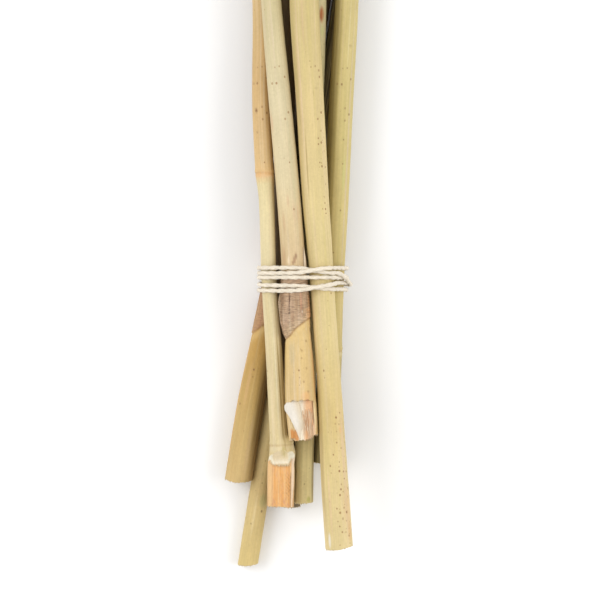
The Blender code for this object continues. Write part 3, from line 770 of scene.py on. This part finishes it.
def torn_colour(y, across):
    """The broken end's torn wood: cream at its left, pinkish tan beyond, and a dark groove at its right,
    painted shade.
    """
    streaks = 0.5 + 0.5 * np.cos(across * 4.1 + 0.9 * np.sin(y * 0.3)) * np.cos(across * 1.7 + 0.25 * y)
    upper = smoothstep(-60.0, -54.0, y)
    low = smoothstep(-61.5, -63.5, y + 0.3 * np.cos(across * 5))
    groove_shade = bell(across - 4.75, 0.28) * smoothstep(-50, -52, y) * smoothstep(-62.5, -59.0, y)
    return layered(filled((0.93, 0.66, 0.42), y.shape), [
        ((0.84, 0.46, 0.22), 0.5 * streaks * smoothstep(1.2, 2.4, across)),
        ((0.86, 0.48, 0.24), 0.6 * upper * smoothstep(1.4, 3.4, across)),
        ((0.95, 0.84, 0.66), 1 - smoothstep(0.2, 1.8, across + 0.8 * (1 - upper))),
        ((0.86, 0.66, 0.36), 1 - smoothstep(-3.6, -2.8, across)),
        ((0.72, 0.30, 0.08), 0.9 * low * (1 - smoothstep(-2.4, -1.6, across))),
        ((0.80, 0.40, 0.16), 0.6 * low * bell(across - 1.2, 0.8)),
        # The groove's dark line is painted shade.
        ((0.16, 0.07, 0.03), 0.8 * groove_shade),
        ((1.0, 0.78, 0.42), smoothstep(4.95, 5.2, across)),
    ])


def waves(y, across, lengths):
    """A pattern of crossing waves; each length is given as turns across and turns along."""
    return sum(np.cos(across * aside + y * along) for aside, along in lengths)


def heel_colour(y, across):
    """The heel's shaved orange wood, and the pale fuzzy scoop between it and the collar."""
    grain = waves(y, across, [(2.3, 0.12), (5.1, -0.05), (8.7, 0.21)])
    patches = waves(y, across, [(1.3, 0.7), (2.9, -1.1), (4.7, 2.3)])
    lower = 1 - smoothstep(-94.0, -86.0, y)
    brown = smoothstep(1.6, 3.0, across) * smoothstep(-94, -89, y) * (1 - smoothstep(-84, -79, y))
    specks = np.cos(across * 6.1 + y * 1.9) * np.cos(across * 2.2 - y * 2.7)
    wood = layered(filled(ORANGE_WOOD, y.shape), [
        ((0.94, 0.60, 0.28), np.clip(0.35 + 0.3 * grain, 0, 1)),
        ((0.72, 0.36, 0.22), 0.6 * lower * smoothstep(0.2, 1.6, patches)),
        ((0.84, 0.48, 0.26), 0.5 * smoothstep(-0.2, 2.0, -patches) * (1 - lower)),
        ((0.90, 0.58, 0.28), 1 - smoothstep(-3.9, -3.4, across)),
        ((0.60, 0.33, 0.16), 0.6 * bell(across + 3.55, 0.2)),
        ((0.40, 0.20, 0.07), 0.75 * brown * smoothstep(0.15, 0.6, specks)),
        ((0.34, 0.18, 0.08), 0.7 * bell(across - 4.1, 0.25) * smoothstep(-79, -83, y)),
        ((0.96, 0.74, 0.52), smoothstep(4.3, 4.6, across)),
    ])
    above = y - shaved_from(across)
    narrow = 1.0 + 0.35 * (y + 76.0)
    # The dark V in the scoop is painted shade in its hollow.
    scoop = bell(across - 1.7, np.maximum(0.9, narrow * 0.5)) * smoothstep(-75.5, -73.0, y)
    cream = layered(filled((0.86, 0.71, 0.46), y.shape), [
        ((0.99, 0.90, 0.72), 0.65 * bell(above - 0.9, 1.1)),
        ((0.97, 0.90, 0.70), 0.8 * smoothstep(2.9, 3.6, np.abs(across))),
        ((0.60, 0.49, 0.18), 0.85 * scoop * (0.7 + 0.3 * np.cos(across * 7.5))),
    ])
    return mix(wood, cream, smoothstep(-0.5, 0.5, above + 0.3 * np.cos(across * 5)))


def reed_frame(name, y):
    """The axis points, and the sideways and upward directions, at each distance."""
    values = along_course(COURSES[name], y)
    step = 0.5
    ends = COURSES[name][0][0] + step, COURSES[name][-1][0] - step
    near = np.clip(y, *ends)
    rise = (along_course(COURSES[name], near + step) - along_course(COURSES[name], near - step))[:, :2]
    tangent = np.stack([rise[:, 0], np.full(len(y), 2 * step), rise[:, 1]], -1)
    tangent /= np.linalg.norm(tangent, axis=1)[:, None]
    up = np.array([0, 0, 1.0]) - tangent * tangent[:, 2:]
    up /= np.linalg.norm(up, axis=1)[:, None]
    axis = np.stack([values[:, 0], y, values[:, 1]], -1)
    return axis, np.cross(tangent, up), up, tangent, values[:, 2]


def laid_out(ring_y, radius, sides):
    """A function that gives the corners of the faces above a ring on the UV map."""
    travelled = np.concatenate([[0], np.cumsum(np.hypot(np.diff(ring_y), np.diff(radius)))])
    share_along = travelled / travelled[-1] * MAIN_BANDS

    def uv_of(ring, side_index):
        low, high = share_along[ring], share_along[ring + 1]
        band = np.minimum(((low + high) / 2).astype(int), MAIN_BANDS - 1)
        left, right = side_index / sides, (side_index + 1) / sides
        u = np.stack([left, right, right, left], -1)
        v = np.stack([low, low, high, high], -1)
        u = (band[:, None] + BAND_EDGE + (1 - 2 * BAND_EDGE) * u) / MAIN_BANDS * MAIN_WIDTH
        v = BAND_EDGE + (1 - 2 * BAND_EDGE) * np.clip(v - band[:, None], 0, 1)
        return np.stack([u, v], -1)

    return uv_of


def build_reed(name):
    """One reed's fine mesh, with its splinters where it has them."""
    rng = np.random.default_rng(sum(map(ord, name)))
    ring_y, ring_share = sweep(name)
    axis, side, up, tangent, radius = reed_frame(name, ring_y)
    sides = MOST_SIDES if name == "sheathed_reed" else SIDES
    angle = np.linspace(0, 2 * math.pi, sides, endpoint=False)[None, :] - math.pi / 2
    y, share, radius = ring_y[:, None], ring_share[:, None], radius[:, None]
    y = np.broadcast_to(y, (len(ring_y), sides))
    bark = (share > 0.97) * 1.0
    reach = radius * share + relief(name, y, angle, radius, rng) * bark
    across, height = reach * np.cos(angle), reach * np.sin(angle)
    inside = (share < 1 - WALL_SHARE + 0.02) * 1.0
    whole = height.copy()
    height = shape_ends(name, y, angle, across, height, inside, axis[:, None, 2], rng)
    cut = smoothstep(0.02, 0.10, whole - height)
    low_rag, high_rag = ragged(name, angle, rng)
    first, last = COURSES[name][0][0], COURSES[name][-1][0]
    shift = low_rag * (1 - smoothstep(0.3, 8.0, y - first))
    shift = shift + high_rag * smoothstep(last - 3.0, last - 0.3, y)
    points = (
        axis[:, None] + side[:, None] * across[..., None] + up[:, None] * height[..., None]
        + tangent[:, None] * shift[..., None]
    )
    colour, bare, freckles = paint(name, y, angle, across, radius, share * np.ones_like(y), cut, rng)
    # Painted shade between the reeds: the more crowded the bark, the darker it is painted.
    gap_shade = smoothstep(*CROWDED[name], crowding(name, points))
    colour = mix(colour, colour * SHADE_IN_GAPS, gap_shade)
    straight = np.stack([across, y, height], -1)
    more = {
        "freckles": freckles, "papery": papery_share(name, y, angle) * (1 - bare),
        "wrapped": np.stack(np.broadcast_arrays(angle * radius, y, 0.0 * y), -1),
    }
    pieces = Pieces()
    uv_of = laid_out(ring_y, ring_share * radius[:, 0], sides)
    pieces.tube(points, uv_of, colour, bare, straight, more)
    if name == "sheathed_reed":
        add_flap(pieces)
        add_torn_fibres(pieces, rng)
        add_sheath_splinter(pieces)
    elif name == "slim_reed":
        add_fuzz(pieces, rng)
    else:
        add_end_fibres(pieces, name, rng)
    return pieces.mesh(name)


def add_flap(pieces):
    """The white pith lining, peeled up over the left of the sheathed reed's broken end."""
    edges = np.array([  # Y, and how far right of the axis its left and right edges are
        (-66.6, -1.8, -1.1), (-65.0, -2.4, -0.7), (-63.0, -3.1, -0.4), (-60.9, -3.9, -0.1),
        (-58.8, -4.7, 0.1), (-56.7, -5.7, 0.0), (-54.6, -7.1, -0.2), (-52.5, -7.0, -0.6),
        (-50.3, -5.2, -1.2),
    ])
    y = np.linspace(edges[-1, 0], edges[0, 0], 28)
    left, right = (np.interp(y, edges[:, 0], edges[:, k])[:, None] for k in (1, 2))
    share = np.linspace(0, 1, 16)
    across = left + (right - left) * share
    across += 0.12 * np.sin(y * 2.1)[:, None] * (share - 0.5)
    axis = along_course(COURSES["sheathed_reed"], np.clip(y, BROKEN_END, 0))
    y = y[:, None]
    height = 3.9 - 0.055 * (across + 2.0) ** 2 + 0.5 * bell(share - 0.35, 0.25)
    height = height - 0.9 * smoothstep(-60, -67, y) + 0.05 * np.cos(across * 5 + y)
    height = height - 0.5 * smoothstep(-52.0, -50.0, y) - 0.55 * smoothstep(0.6, 1.0, share)
    top = np.stack(np.broadcast_arrays(axis[:, :1] + across, y, axis[:, 1:2] + height), -1)
    tint = layered(filled(PITH, across.shape), [
        ((0.86, 0.74, 0.55), smoothstep(0.45, 1.0, share)[None, :]),
        ((0.90, 0.78, 0.60), smoothstep(-60, -66, y)),
    ])
    pieces.slab(top, 0.4, tint)


def add_torn_fibres(pieces, rng):
    """Splinters along the sheathed reed's broken end, and round its rim."""
    course = COURSES["sheathed_reed"]
    for _ in range(TORN_FIBRES):
        across = rng.uniform(0.4, 4.4)
        y = rng.uniform(-64.0, -53.5)
        x, z, _ = along_course(course, y)[0]
        x, z = x + across, z + torn_limit(across)
        length = rng.uniform(2.0, 6.0)
        end_y = max(y - length, BROKEN_END - rng.uniform(0.0, 0.9) + broken_back(across / 6.2))
        tint = pick(rng, [(0.92, 0.66, 0.42), (0.84, 0.50, 0.27), (0.94, 0.76, 0.54)])
        end = (x + rng.uniform(-0.3, 0.3), end_y, z + 0.1 + rng.uniform(0, 0.4))
        width = rng.uniform(0.12, 0.24)
        pieces.sliver((x, y, z), end, width, tint, bend=(0, 0, rng.uniform(0.0, 0.2)))
    x, z, radius = along_course(course, BROKEN_END + 0.5)[0]
    for _ in range(TORN_FIBRES):
        turn = math.radians(rng.uniform(-200, 20))
        reach = radius * rng.uniform(0.78, 0.97)
        from_y = BROKEN_END + 0.7 + broken_back(math.cos(turn))
        start = np.array([x + reach * math.cos(turn), from_y, z + reach * math.sin(turn)])
        drop = rng.uniform(0.5, 1.7)
        tint = pick(rng, [(0.88, 0.74, 0.50), (0.80, 0.52, 0.28), (0.90, 0.80, 0.62)])
        end = start + (rng.uniform(-0.3, 0.3), -drop, rng.uniform(-0.2, 0.2))
        pieces.sliver(start, end, rng.uniform(0.18, 0.35), tint)


def add_sheath_splinter(pieces):
    """The pointed remnant of the sheath that stands along the sheathed reed's right side above the string."""
    y = np.linspace(3.0, 13.9, 16)
    x, z, radius = along_course(COURSES["sheathed_reed"], y).T[..., None]
    y = y[:, None]
    half = np.interp(y, [3.0, 9.0, 13.9], [1.0, 0.75, 0.06])
    share = np.linspace(-1, 1, 5)
    turn = math.radians(26)
    across = (radius + 0.25) * math.cos(turn) + half * share * 0.8
    height = (radius + 0.2) * math.sin(turn) + 0.5 - half * share * 0.3
    top = np.stack(np.broadcast_arrays(x + across, y, z + height), -1)
    edge = smoothstep(0.3, 0.9, np.abs(share))[None, :]
    pieces.slab(top, 0.22, mix(filled((0.88, 0.74, 0.54), across.shape), (0.30, 0.14, 0.05), 0.9 * edge))


def add_fuzz(pieces, rng):
    """Short fibres where the slim reed's heel was shaved and cut."""
    course = COURSES["slim_reed"]
    for _ in range(SHAVED_FIBRES):
        across = rng.uniform(-4.6, 4.6)
        y = float(shaved_from(across)) + rng.uniform(-0.2, 1.2)
        x = along_course(course, y)[0, 0] + across
        end_x, end_y = x + rng.uniform(-0.3, 0.3), y - rng.uniform(0.6, 1.8)
        end = (end_x, end_y, SHAVED_HEIGHT + rng.uniform(0.1, 0.5))
        start = (x, y, SHAVED_HEIGHT + 0.3)
        pieces.sliver(start, end, rng.uniform(0.1, 0.22), (0.88, 0.74, 0.48), bend=(0, 0, 0.15))
    x, z, radius = along_course(course, HEEL_END + 0.1)[0]
    for _ in range(HEEL_FIBRES):
        across = rng.uniform(-5.0, 5.0)
        floor = z - math.sqrt(max(radius**2 - across**2, 0.0)) * 0.9
        start_z = rng.uniform(max(floor, z - 4), SHAVED_HEIGHT - 0.1)
        end_x, end_y = x + across + rng.uniform(-0.2, 0.2), HEEL_END - rng.uniform(0.1, 0.8)
        end = (end_x, end_y, start_z + rng.uniform(-0.2, 0.1))
        width = rng.uniform(0.15, 0.35)
        tint = pick(rng, [(0.80, 0.46, 0.20), (0.86, 0.66, 0.40)])
        pieces.sliver((x + across, HEEL_END + 0.4, start_z), end, width, tint)


def add_end_fibres(pieces, name, rng):
    """Short fibres round the rim of a sawn lower end."""
    first = COURSES[name][0][0]
    slant, bow = LOWER_ENDS[name]
    axis, side, up, tangent, radius = reed_frame(name, np.array([first]))
    for _ in range(SAWN_FIBRES):
        turn = rng.uniform(0, 2 * math.pi)
        reach = radius[0] * rng.uniform(0.78, 0.96)
        start = axis[0] + side[0] * reach * math.cos(turn) + up[0] * reach * math.sin(turn)
        start = start + tangent[0] * (0.3 + slant * math.cos(turn) + bow * math.cos(turn) ** 2)
        end = start - tangent[0] * rng.uniform(0.4, 1.0) + side[0] * rng.uniform(-0.15, 0.15)
        end[2] = max(end[2], 0.3)
        width = rng.uniform(0.14, 0.3)
        pieces.sliver(start, end, width, pick(rng, [(0.82, 0.68, 0.42), (0.66, 0.52, 0.26)]))


def reach_round_reeds(degrees, y):
    """How far out the string's axis is at each angle round the bundle, pulled tight over all reeds."""
    angle = np.radians(degrees)
    sections = np.stack([along_course(course, y) for course in COURSES.values()])
    best = np.full(len(angle), 1e9)
    for offset in range(-80, 81, 2):
        direction = angle + math.radians(offset)
        support = (
            (sections[..., 0] - BUNDLE_MIDDLE[0]) * np.cos(direction)
            + (sections[..., 1] - BUNDLE_MIDDLE[1]) * np.sin(direction) + sections[..., 2]
        ).max(0)
        best = np.minimum(best, (support + STRING_GAP + STRING_RADIUS) / math.cos(math.radians(offset)))
    return best


def string_places(degrees, y, lift):
    """Points on the string's axis, lifted off the reeds by so much."""
    reach = reach_round_reeds(degrees, y) + lift
    angle = np.radians(degrees)
    x, z = BUNDLE_MIDDLE
    return np.stack([x + reach * np.cos(angle), y, z + reach * np.sin(angle)], -1)


def even_steps(points, step):
    """The same line, with its points a set distance apart."""
    length = np.concatenate([[0], np.cumsum(np.linalg.norm(np.diff(points, axis=0), axis=1))])
    places = np.linspace(0, length[-1], int(length[-1] / step) + 1)
    return np.stack([np.interp(places, length, points[:, k]) for k in range(3)], -1), places


def string_axis():
    """The string's evenly spaced points round the bundle, and how far along it each one is."""
    turns = np.arange(STRING_ROUTE[0][0], STRING_ROUTE[-1][0], STRING_STEP)
    stops = along_course([(*stop, 0.0) for stop in STRING_ROUTE], turns)
    points = string_places(turns, stops[:, 0], np.maximum(stops[:, 1], 0.0))
    for _ in range(TIGHTENING):
        points[1:-1] = 0.5 * points[1:-1] + 0.25 * (points[:-2] + points[2:])
    return even_steps(points, 0.5)


def frames_along(points):
    """Two directions across a line at each of its points, turned as little as possible."""
    tangent = np.gradient(points, axis=0)
    tangent /= np.linalg.norm(tangent, axis=1)[:, None]
    across = np.zeros_like(points)
    guess = ALONG
    for i, direction in enumerate(tangent):
        guess = guess - direction * (guess @ direction)
        guess /= np.linalg.norm(guess)
        across[i] = guess
    return tangent, across, np.cross(tangent, across)


def add_plies(pieces, points, travelled, ply_radius, phase=0.0):
    """Two plies twisted round each other along a line, each of three finer yarns."""
    _, across, other = frames_along(points)
    turn = np.linspace(0, 2 * math.pi, PLY_SIDES, endpoint=False)[None, :]
    from_end = np.minimum(np.arange(len(points)), np.arange(len(points))[::-1])
    closing = smoothstep(-1.0, 2.0, from_end)[:, None]
    closing[[0, -1]] = 0.0
    per_strip = math.ceil((len(points) - 1) / PLY_STRIPS)
    for ply in range(2):
        twist = 2 * math.pi * travelled / PLY_PITCH + ply * math.pi + phase
        middle = points + PLY_OFFSET * (np.cos(twist)[:, None] * across + np.sin(twist)[:, None] * other)
        fat = 1 + 0.07 * np.sin(travelled / 3.1 + ply) + 0.04 * np.sin(travelled * 1.7 + 2 * ply)
        yarns = np.cos(3 * (turn + 1.35 * twist[:, None]))
        reach = (ply_radius * fat)[:, None] * (1 + 0.06 * yarns) * closing
        aside, upward = reach * np.cos(turn), reach * np.sin(turn)
        grid = middle[:, None] + aside[..., None] * across[:, None] + upward[..., None] * other[:, None]
        straight = np.stack(np.broadcast_arrays(
            np.cos(turn) * ply_radius + 5 * ply, travelled[:, None], np.sin(turn) * ply_radius
        ), -1)
        tint = mix(filled((0.97, 0.84, 0.65), yarns.shape), (1.0, 0.92, 0.77), 0.5 + 0.5 * yarns)

        def uv_of(ring_index, side_index, ply=ply):
            strip, place = ring_index // per_strip, ring_index % per_strip
            left, right = side_index / PLY_SIDES, (side_index + 1) / PLY_SIDES
            u = np.stack([place, place, place + 1, place + 1], -1) / per_strip * 0.92
            v = (strip[:, None] + 0.04 + 0.92 * np.stack([left, right, right, left], -1)) / PLY_STRIPS
            return np.stack([u, (ply + v) / 2], -1)

        pieces.tube(grid, uv_of, tint, np.zeros(yarns.shape), straight)


def add_string_fuzz(pieces, points, rng):
    """Fine fibres that stand off the string."""
    tangent, across, other = frames_along(points)
    for _ in range(STRING_FIBRES):
        i = rng.integers(5, len(points) - 5)
        turn = rng.uniform(0, 2 * math.pi)
        out = math.cos(turn) * across[i] + math.sin(turn) * other[i]
        start = points[i] + out * 0.7
        length = rng.uniform(0.8, 2.2)
        end = start + out * rng.uniform(0.15, 0.7) + tangent[i] * length * rng.choice([-1, 1])
        if end[2] < 0.4:
            continue
        pieces.sliver(start, end, 0.045, (0.90, 0.83, 0.70), bend=tuple(out * rng.uniform(0, 0.3)))


def knot_axis():
    """A pulled-tight overhand knot low at the bundle's right: its line, place and two directions there."""
    degrees, y, lift = KNOT_PLACE
    place = string_places(np.array([degrees]), np.array([y]), lift)[0]
    angle = math.radians(degrees)
    out = np.array([math.cos(angle), 0, math.sin(angle)])
    round_it = np.array([-math.sin(angle), 0, math.cos(angle)])
    t = np.linspace(0.25, 2 * math.pi + 0.05, 90)[:, None]
    loops = (
        (np.sin(t) + 2 * np.sin(2 * t)) * round_it + (np.cos(t) - 2 * np.cos(2 * t)) * ALONG
        - 1.3 * np.sin(3 * t) * out
    )
    return place + KNOT_SIZE * loops, place, out, round_it


def build_string():
    """The wound string, its knot and the knot's two frayed tails, in one mesh."""
    rng = np.random.default_rng(7)
    pieces = Pieces()
    points, travelled = string_axis()
    add_plies(pieces, points, travelled, PLY_RADIUS)
    add_string_fuzz(pieces, points, rng)
    knot, place, out, round_it = knot_axis()
    add_plies(pieces, *even_steps(knot, TAIL_STEP), TAIL_RADIUS)
    for aside, down in TAILS:
        share = np.linspace(0, 1, 24)[:, None]
        tail = place + share * (aside * TAIL_LENGTH * ALONG + round_it * down * 0.5 + out * 0.5)
        tail = tail + out * 0.8 * np.sin(share * 2.4)
        tail[:, 2] = np.maximum(tail[:, 2], 1.2)
        tail, length = even_steps(tail, TAIL_STEP)
        add_plies(pieces, tail, length, TAIL_RADIUS, phase=aside)
        for _ in range(TAIL_FIBRES):
            end = tail[-1] + rng.normal(0, 0.28, 3)
            end = end + aside * rng.uniform(0.2, 1.6) * ALONG
            pieces.sliver(tail[-3], end, 0.07, (0.86, 0.78, 0.64))
    return pieces.mesh("string")


class Finish:
    """A material whose node tree is built up step by step."""

    def __init__(self, name):
        self.material = bpy.data.materials.new(name)
        self.material.use_nodes = True
        self.tree = self.material.node_tree
        self.shader = self.tree.nodes["Principled BSDF"]

    def node(self, kind, sockets=None, **settings):
        made = self.tree.nodes.new(kind)
        for key, value in settings.items():
            setattr(made, key, value)
        for key, value in (sockets or {}).items():
            self.put(made.inputs[key], value)
        return made

    def put(self, socket, value):
        if isinstance(value, bpy.types.NodeSocket):
            self.tree.links.new(value, socket)
        else:
            socket.default_value = value

    def value(self, name, output):
        return self.node("ShaderNodeAttribute", attribute_name=name).outputs[output]

    def stretched(self, place, scale):
        sockets = {0: self.value(place, "Vector"), 1: scale}
        return self.node("ShaderNodeVectorMath", sockets, operation="MULTIPLY").outputs[0]

    def noise(self, scale, detail=3.0, roughness=0.55):
        return self.node("ShaderNodeTexNoise", {
            "Vector": self.stretched("straight", scale), "Scale": 1.0, "Detail": detail,
            "Roughness": roughness,
        }).outputs["Fac"]

    def math(self, operation, first, second=0.0):
        return self.node("ShaderNodeMath", {0: first, 1: second}, operation=operation).outputs[0]

    def product(self, first, *others):
        for value in others:
            first = self.math("MULTIPLY", first, value)
        return first

    def shaded(self, colour, shade):
        sockets = {0: colour, "Scale": shade}
        return self.node("ShaderNodeVectorMath", sockets, operation="SCALE").outputs[0]

    def span(self, value, low, high, to_low=0.0, to_high=1.0):
        return self.node("ShaderNodeMapRange", {
            "Value": value, "From Min": low, "From Max": high, "To Min": to_low, "To Max": to_high,
        }).outputs[0]

    def blend(self, share, first, second, kind="MIX"):
        made = self.node("ShaderNodeMix", data_type="RGBA", blend_type=kind)
        self.put(made.inputs[0], share)
        self.put(made.inputs[6], first)
        self.put(made.inputs[7], second)
        return made.outputs[2]

    def bumped(self, height, distance, strength, normal=None):
        sockets = {"Height": height, "Distance": distance, "Strength": strength}
        if normal is not None:
            sockets["Normal"] = normal
        return self.node("ShaderNodeBump", sockets).outputs[0]

    def finished(self, sockets):
        """The material, with the shader's sockets set."""
        for key, value in sockets.items():
            self.put(self.shader.inputs[key], value)
        return self.material


def rgba(colour):
    return (*colour, 1.0)


def freckle_share(made):
    """How much of a freckle shows: round dots of uneven size and strength, dense where freckles is high."""
    cells = made.node("ShaderNodeTexVoronoi", {
        "Vector": made.stretched("wrapped", (0.50, 0.40, 0.0)), "Scale": 1.0, "Randomness": 1.0,
    }, voronoi_dimensions="2D")
    picked = made.node("ShaderNodeSeparateColor", {"Color": cells.outputs["Color"]})
    often = made.math("LESS_THAN", picked.outputs[0], made.value("freckles", "Fac"))
    size = made.span(picked.outputs[1], 0.0, 1.0, 0.02, 0.24)
    dot = made.span(made.math("SUBTRACT", size, cells.outputs["Distance"]), -0.03, 0.06)
    return made.product(dot, often, made.span(picked.outputs[2], 0, 1, 0.35, 0.95))


def reed_material(name, streak_colour, pale_colour, freckle_colour, roughness):
    """A bark with fine lines, darker and paler streaks, blotches, flecks, freckles and papery creases."""
    made = Finish(name)
    bare, papery = made.value("bare", "Fac"), made.value("papery", "Fac")
    barked = made.span(bare, 0.0, 0.6, 1.0, 0.0)
    lines = made.noise((2.4, 0.02, 2.4), 4.0, 0.6)
    broad, pale = made.noise((0.55, 0.008, 0.55)), made.noise((0.85, 0.011, 0.85))
    blotch = made.noise((0.22, 0.05, 0.22))
    flecks = made.noise((0.7, 3.2, 0.7), 2.0)
    mottle = made.noise((1.1, 0.8, 1.1), 4.0)
    creases = made.noise((0.45, 2.3, 0.45), 3.0, 0.65)
    grain = made.noise((5.0, 0.12, 5.0), 3.0, 0.6)
    creased = made.product(papery, made.span(creases, 0.36, 0.58, 0.62, 1.08))
    shade = made.product(
        made.span(lines, 0.30, 0.70, made.span(bare, 0.0, 1.0, 0.94, 0.98), 1.05),
        made.span(blotch, 0.3, 0.7, 0.93, 1.05), made.span(flecks, 0.60, 0.72, 1.0, 0.93),
        made.span(mottle, 0.3, 0.7, 0.955, 1.04),
        made.math("ADD", creased, made.math("SUBTRACT", 1.0, papery)),
    )
    streaked = made.product(made.span(broad, 0.50, 0.72, 0.0, 0.40), barked)
    paled = made.product(made.span(pale, 0.52, 0.70, 0.0, 0.45), barked)
    colour = made.blend(streaked, made.value("tint", "Color"), rgba(streak_colour))
    colour = made.shaded(made.blend(paled, colour, rgba(pale_colour)), shade)
    colour = made.blend(freckle_share(made), colour, rgba(freckle_colour))
    rough = made.span(lines, 0.3, 0.7, roughness + 0.06, roughness - 0.05)
    rough = made.math("ADD", rough, made.math("MULTIPLY", bare, 0.28))
    normal = made.bumped(lines, 0.00016, 0.45)
    normal = made.bumped(grain, 0.00012, made.span(bare, 0.0, 1.0, 0.35, 1.0), normal)
    return made.finished({
        "Base Color": colour, "Roughness": rough, "Normal": normal, "Specular IOR Level": 0.28,
    })


def string_material():
    """Matt, pale, fibrous string."""
    made = Finish("string")
    fibre = made.noise((5.0, 1.6, 5.0), 4.0, 0.65)
    slow = made.noise((0.3, 0.09, 0.3), 2.0)
    shade = made.product(made.span(fibre, 0.3, 0.7, 0.86, 1.10), made.span(slow, 0.3, 0.7, 0.93, 1.04))
    return made.finished({
        "Base Color": made.shaded(made.value("tint", "Color"), shade),
        "Roughness": made.span(fibre, 0.2, 0.8, 0.95, 0.80), "Normal": made.bumped(fibre, 0.00015, 0.7),
        "Specular IOR Level": 0.2, "Sheen Weight": 0.3, "Sheen Roughness": 0.5,
    })


# The darker and the paler streaks that show in each bark, its freckles' colour, and how rough it is.
FINISHES = {
    "slim_reed": ((0.60, 0.44, 0.19), (0.72, 0.56, 0.36), (0.30, 0.16, 0.06), 0.58),
    "sheathed_reed": ((0.62, 0.48, 0.30), (0.68, 0.56, 0.40), (0.32, 0.18, 0.08), 0.62),
    "thick_reed": ((0.56, 0.46, 0.16), (0.68, 0.52, 0.31), (0.27, 0.14, 0.05), 0.57),
    "right_reed": ((0.49, 0.41, 0.13), (0.60, 0.47, 0.24), (0.28, 0.18, 0.07), 0.57),
    "left_reed": ((0.52, 0.33, 0.12), (0.55, 0.39, 0.17), (0.24, 0.12, 0.05), 0.60),
    "long_reed": ((0.52, 0.42, 0.15), (0.62, 0.48, 0.23), (0.27, 0.19, 0.08), 0.58),
    "olive_reed": ((0.44, 0.38, 0.15), (0.58, 0.47, 0.22), (0.25, 0.17, 0.07), 0.58),
    # The back reed's dark streak, pale and freckle colours are painted shade, like its bark.
    "back_reed": ((0.20, 0.14, 0.06), (0.24, 0.17, 0.08), (0.12, 0.07, 0.03), 0.60),
}


FLOOR_SIZE = 8.0  # metres
FLOOR_COLOUR = (0.93, 0.93, 0.93)
WORLD_STRENGTH = 0.78
# The lamps: where each one is and how wide it is, in metres, and its power in watts.
LAMPS = {"left": ((-1.5, 0.3, 1.5), 1.6, 21.0), "right": ((1.6, -0.1, 1.4), 1.6, 18.5)}
CAMERA_HEIGHT = 2.0  # metres over the middle of the bundle's depth
CAMERA_PLACE = (-0.00694, -0.0879, 0.025)
VIEW_WIDTH = 0.252  # metres across the picture at that depth
SENSOR_WIDTH = 36.0


def add_piece(name, mesh, material):
    """Shows a fine mesh in place of the plain solid of the same name."""
    mesh.materials.append(material)
    piece = bpy.data.objects.new("fine_" + name, mesh)
    bpy.context.scene.collection.objects.link(piece)
    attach(piece, "root")
    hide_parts(name)
    return piece


def build_floor():
    """The pale surface that the bunch lies on."""
    mesh = bpy.data.meshes.new("floor")
    half = FLOOR_SIZE / 2
    corners = [(-half, -half, 0), (half, -half, 0), (half, half, 0), (-half, half, 0)]
    mesh.from_pydata(corners, [], [(0, 1, 2, 3)])
    look = {"Base Color": rgba(FLOOR_COLOUR), "Roughness": 0.9, "Specular IOR Level": 0.0}
    mesh.materials.append(Finish("floor").finished(look))
    floor = bpy.data.objects.new("floor", mesh)
    bpy.context.scene.collection.objects.link(floor)


def area_light(name, place, size, power):
    """A round lamp that faces the origin."""
    data = bpy.data.lights.new(name, "AREA")
    data.shape = "DISK"
    data.size = size
    data.energy = power
    lamp = bpy.data.objects.new(name, data)
    bpy.context.scene.collection.objects.link(lamp)
    lamp.location = place
    direction = -lamp.location.normalized()
    lamp.rotation_mode = "QUATERNION"
    lamp.rotation_quaternion = direction.to_track_quat("-Z", "Y")


def build_lights():
    """White surroundings and two soft lamps."""
    world = bpy.data.worlds.new("studio")
    world.use_nodes = True
    background = world.node_tree.nodes["Background"]
    background.inputs["Color"].default_value = (1.0, 1.0, 1.0, 1.0)
    background.inputs["Strength"].default_value = WORLD_STRENGTH
    bpy.context.scene.world = world
    for name, lamp in LAMPS.items():
        area_light(name, *lamp)


def build_camera():
    """Looks straight down on the lower part of the bunch."""
    data = bpy.data.cameras.new("camera")
    data.type = "PERSP"
    data.sensor_width = SENSOR_WIDTH
    data.lens = SENSOR_WIDTH * CAMERA_HEIGHT / VIEW_WIDTH
    data.clip_end = 20.0
    camera = bpy.data.objects.new("camera", data)
    bpy.context.scene.collection.objects.link(camera)
    camera.location = (CAMERA_PLACE[0], CAMERA_PLACE[1], CAMERA_PLACE[2] + CAMERA_HEIGHT)
    bpy.context.scene.camera = camera


def main():
    build_camera()
    build_lights()
    build_floor()
    for name in COURSES:
        add_piece(name, build_reed(name), reed_material(name, *FINISHES[name]))
    add_piece("string", build_string(), string_material())
    bpy.context.scene.view_settings.view_transform = "Standard"


main()
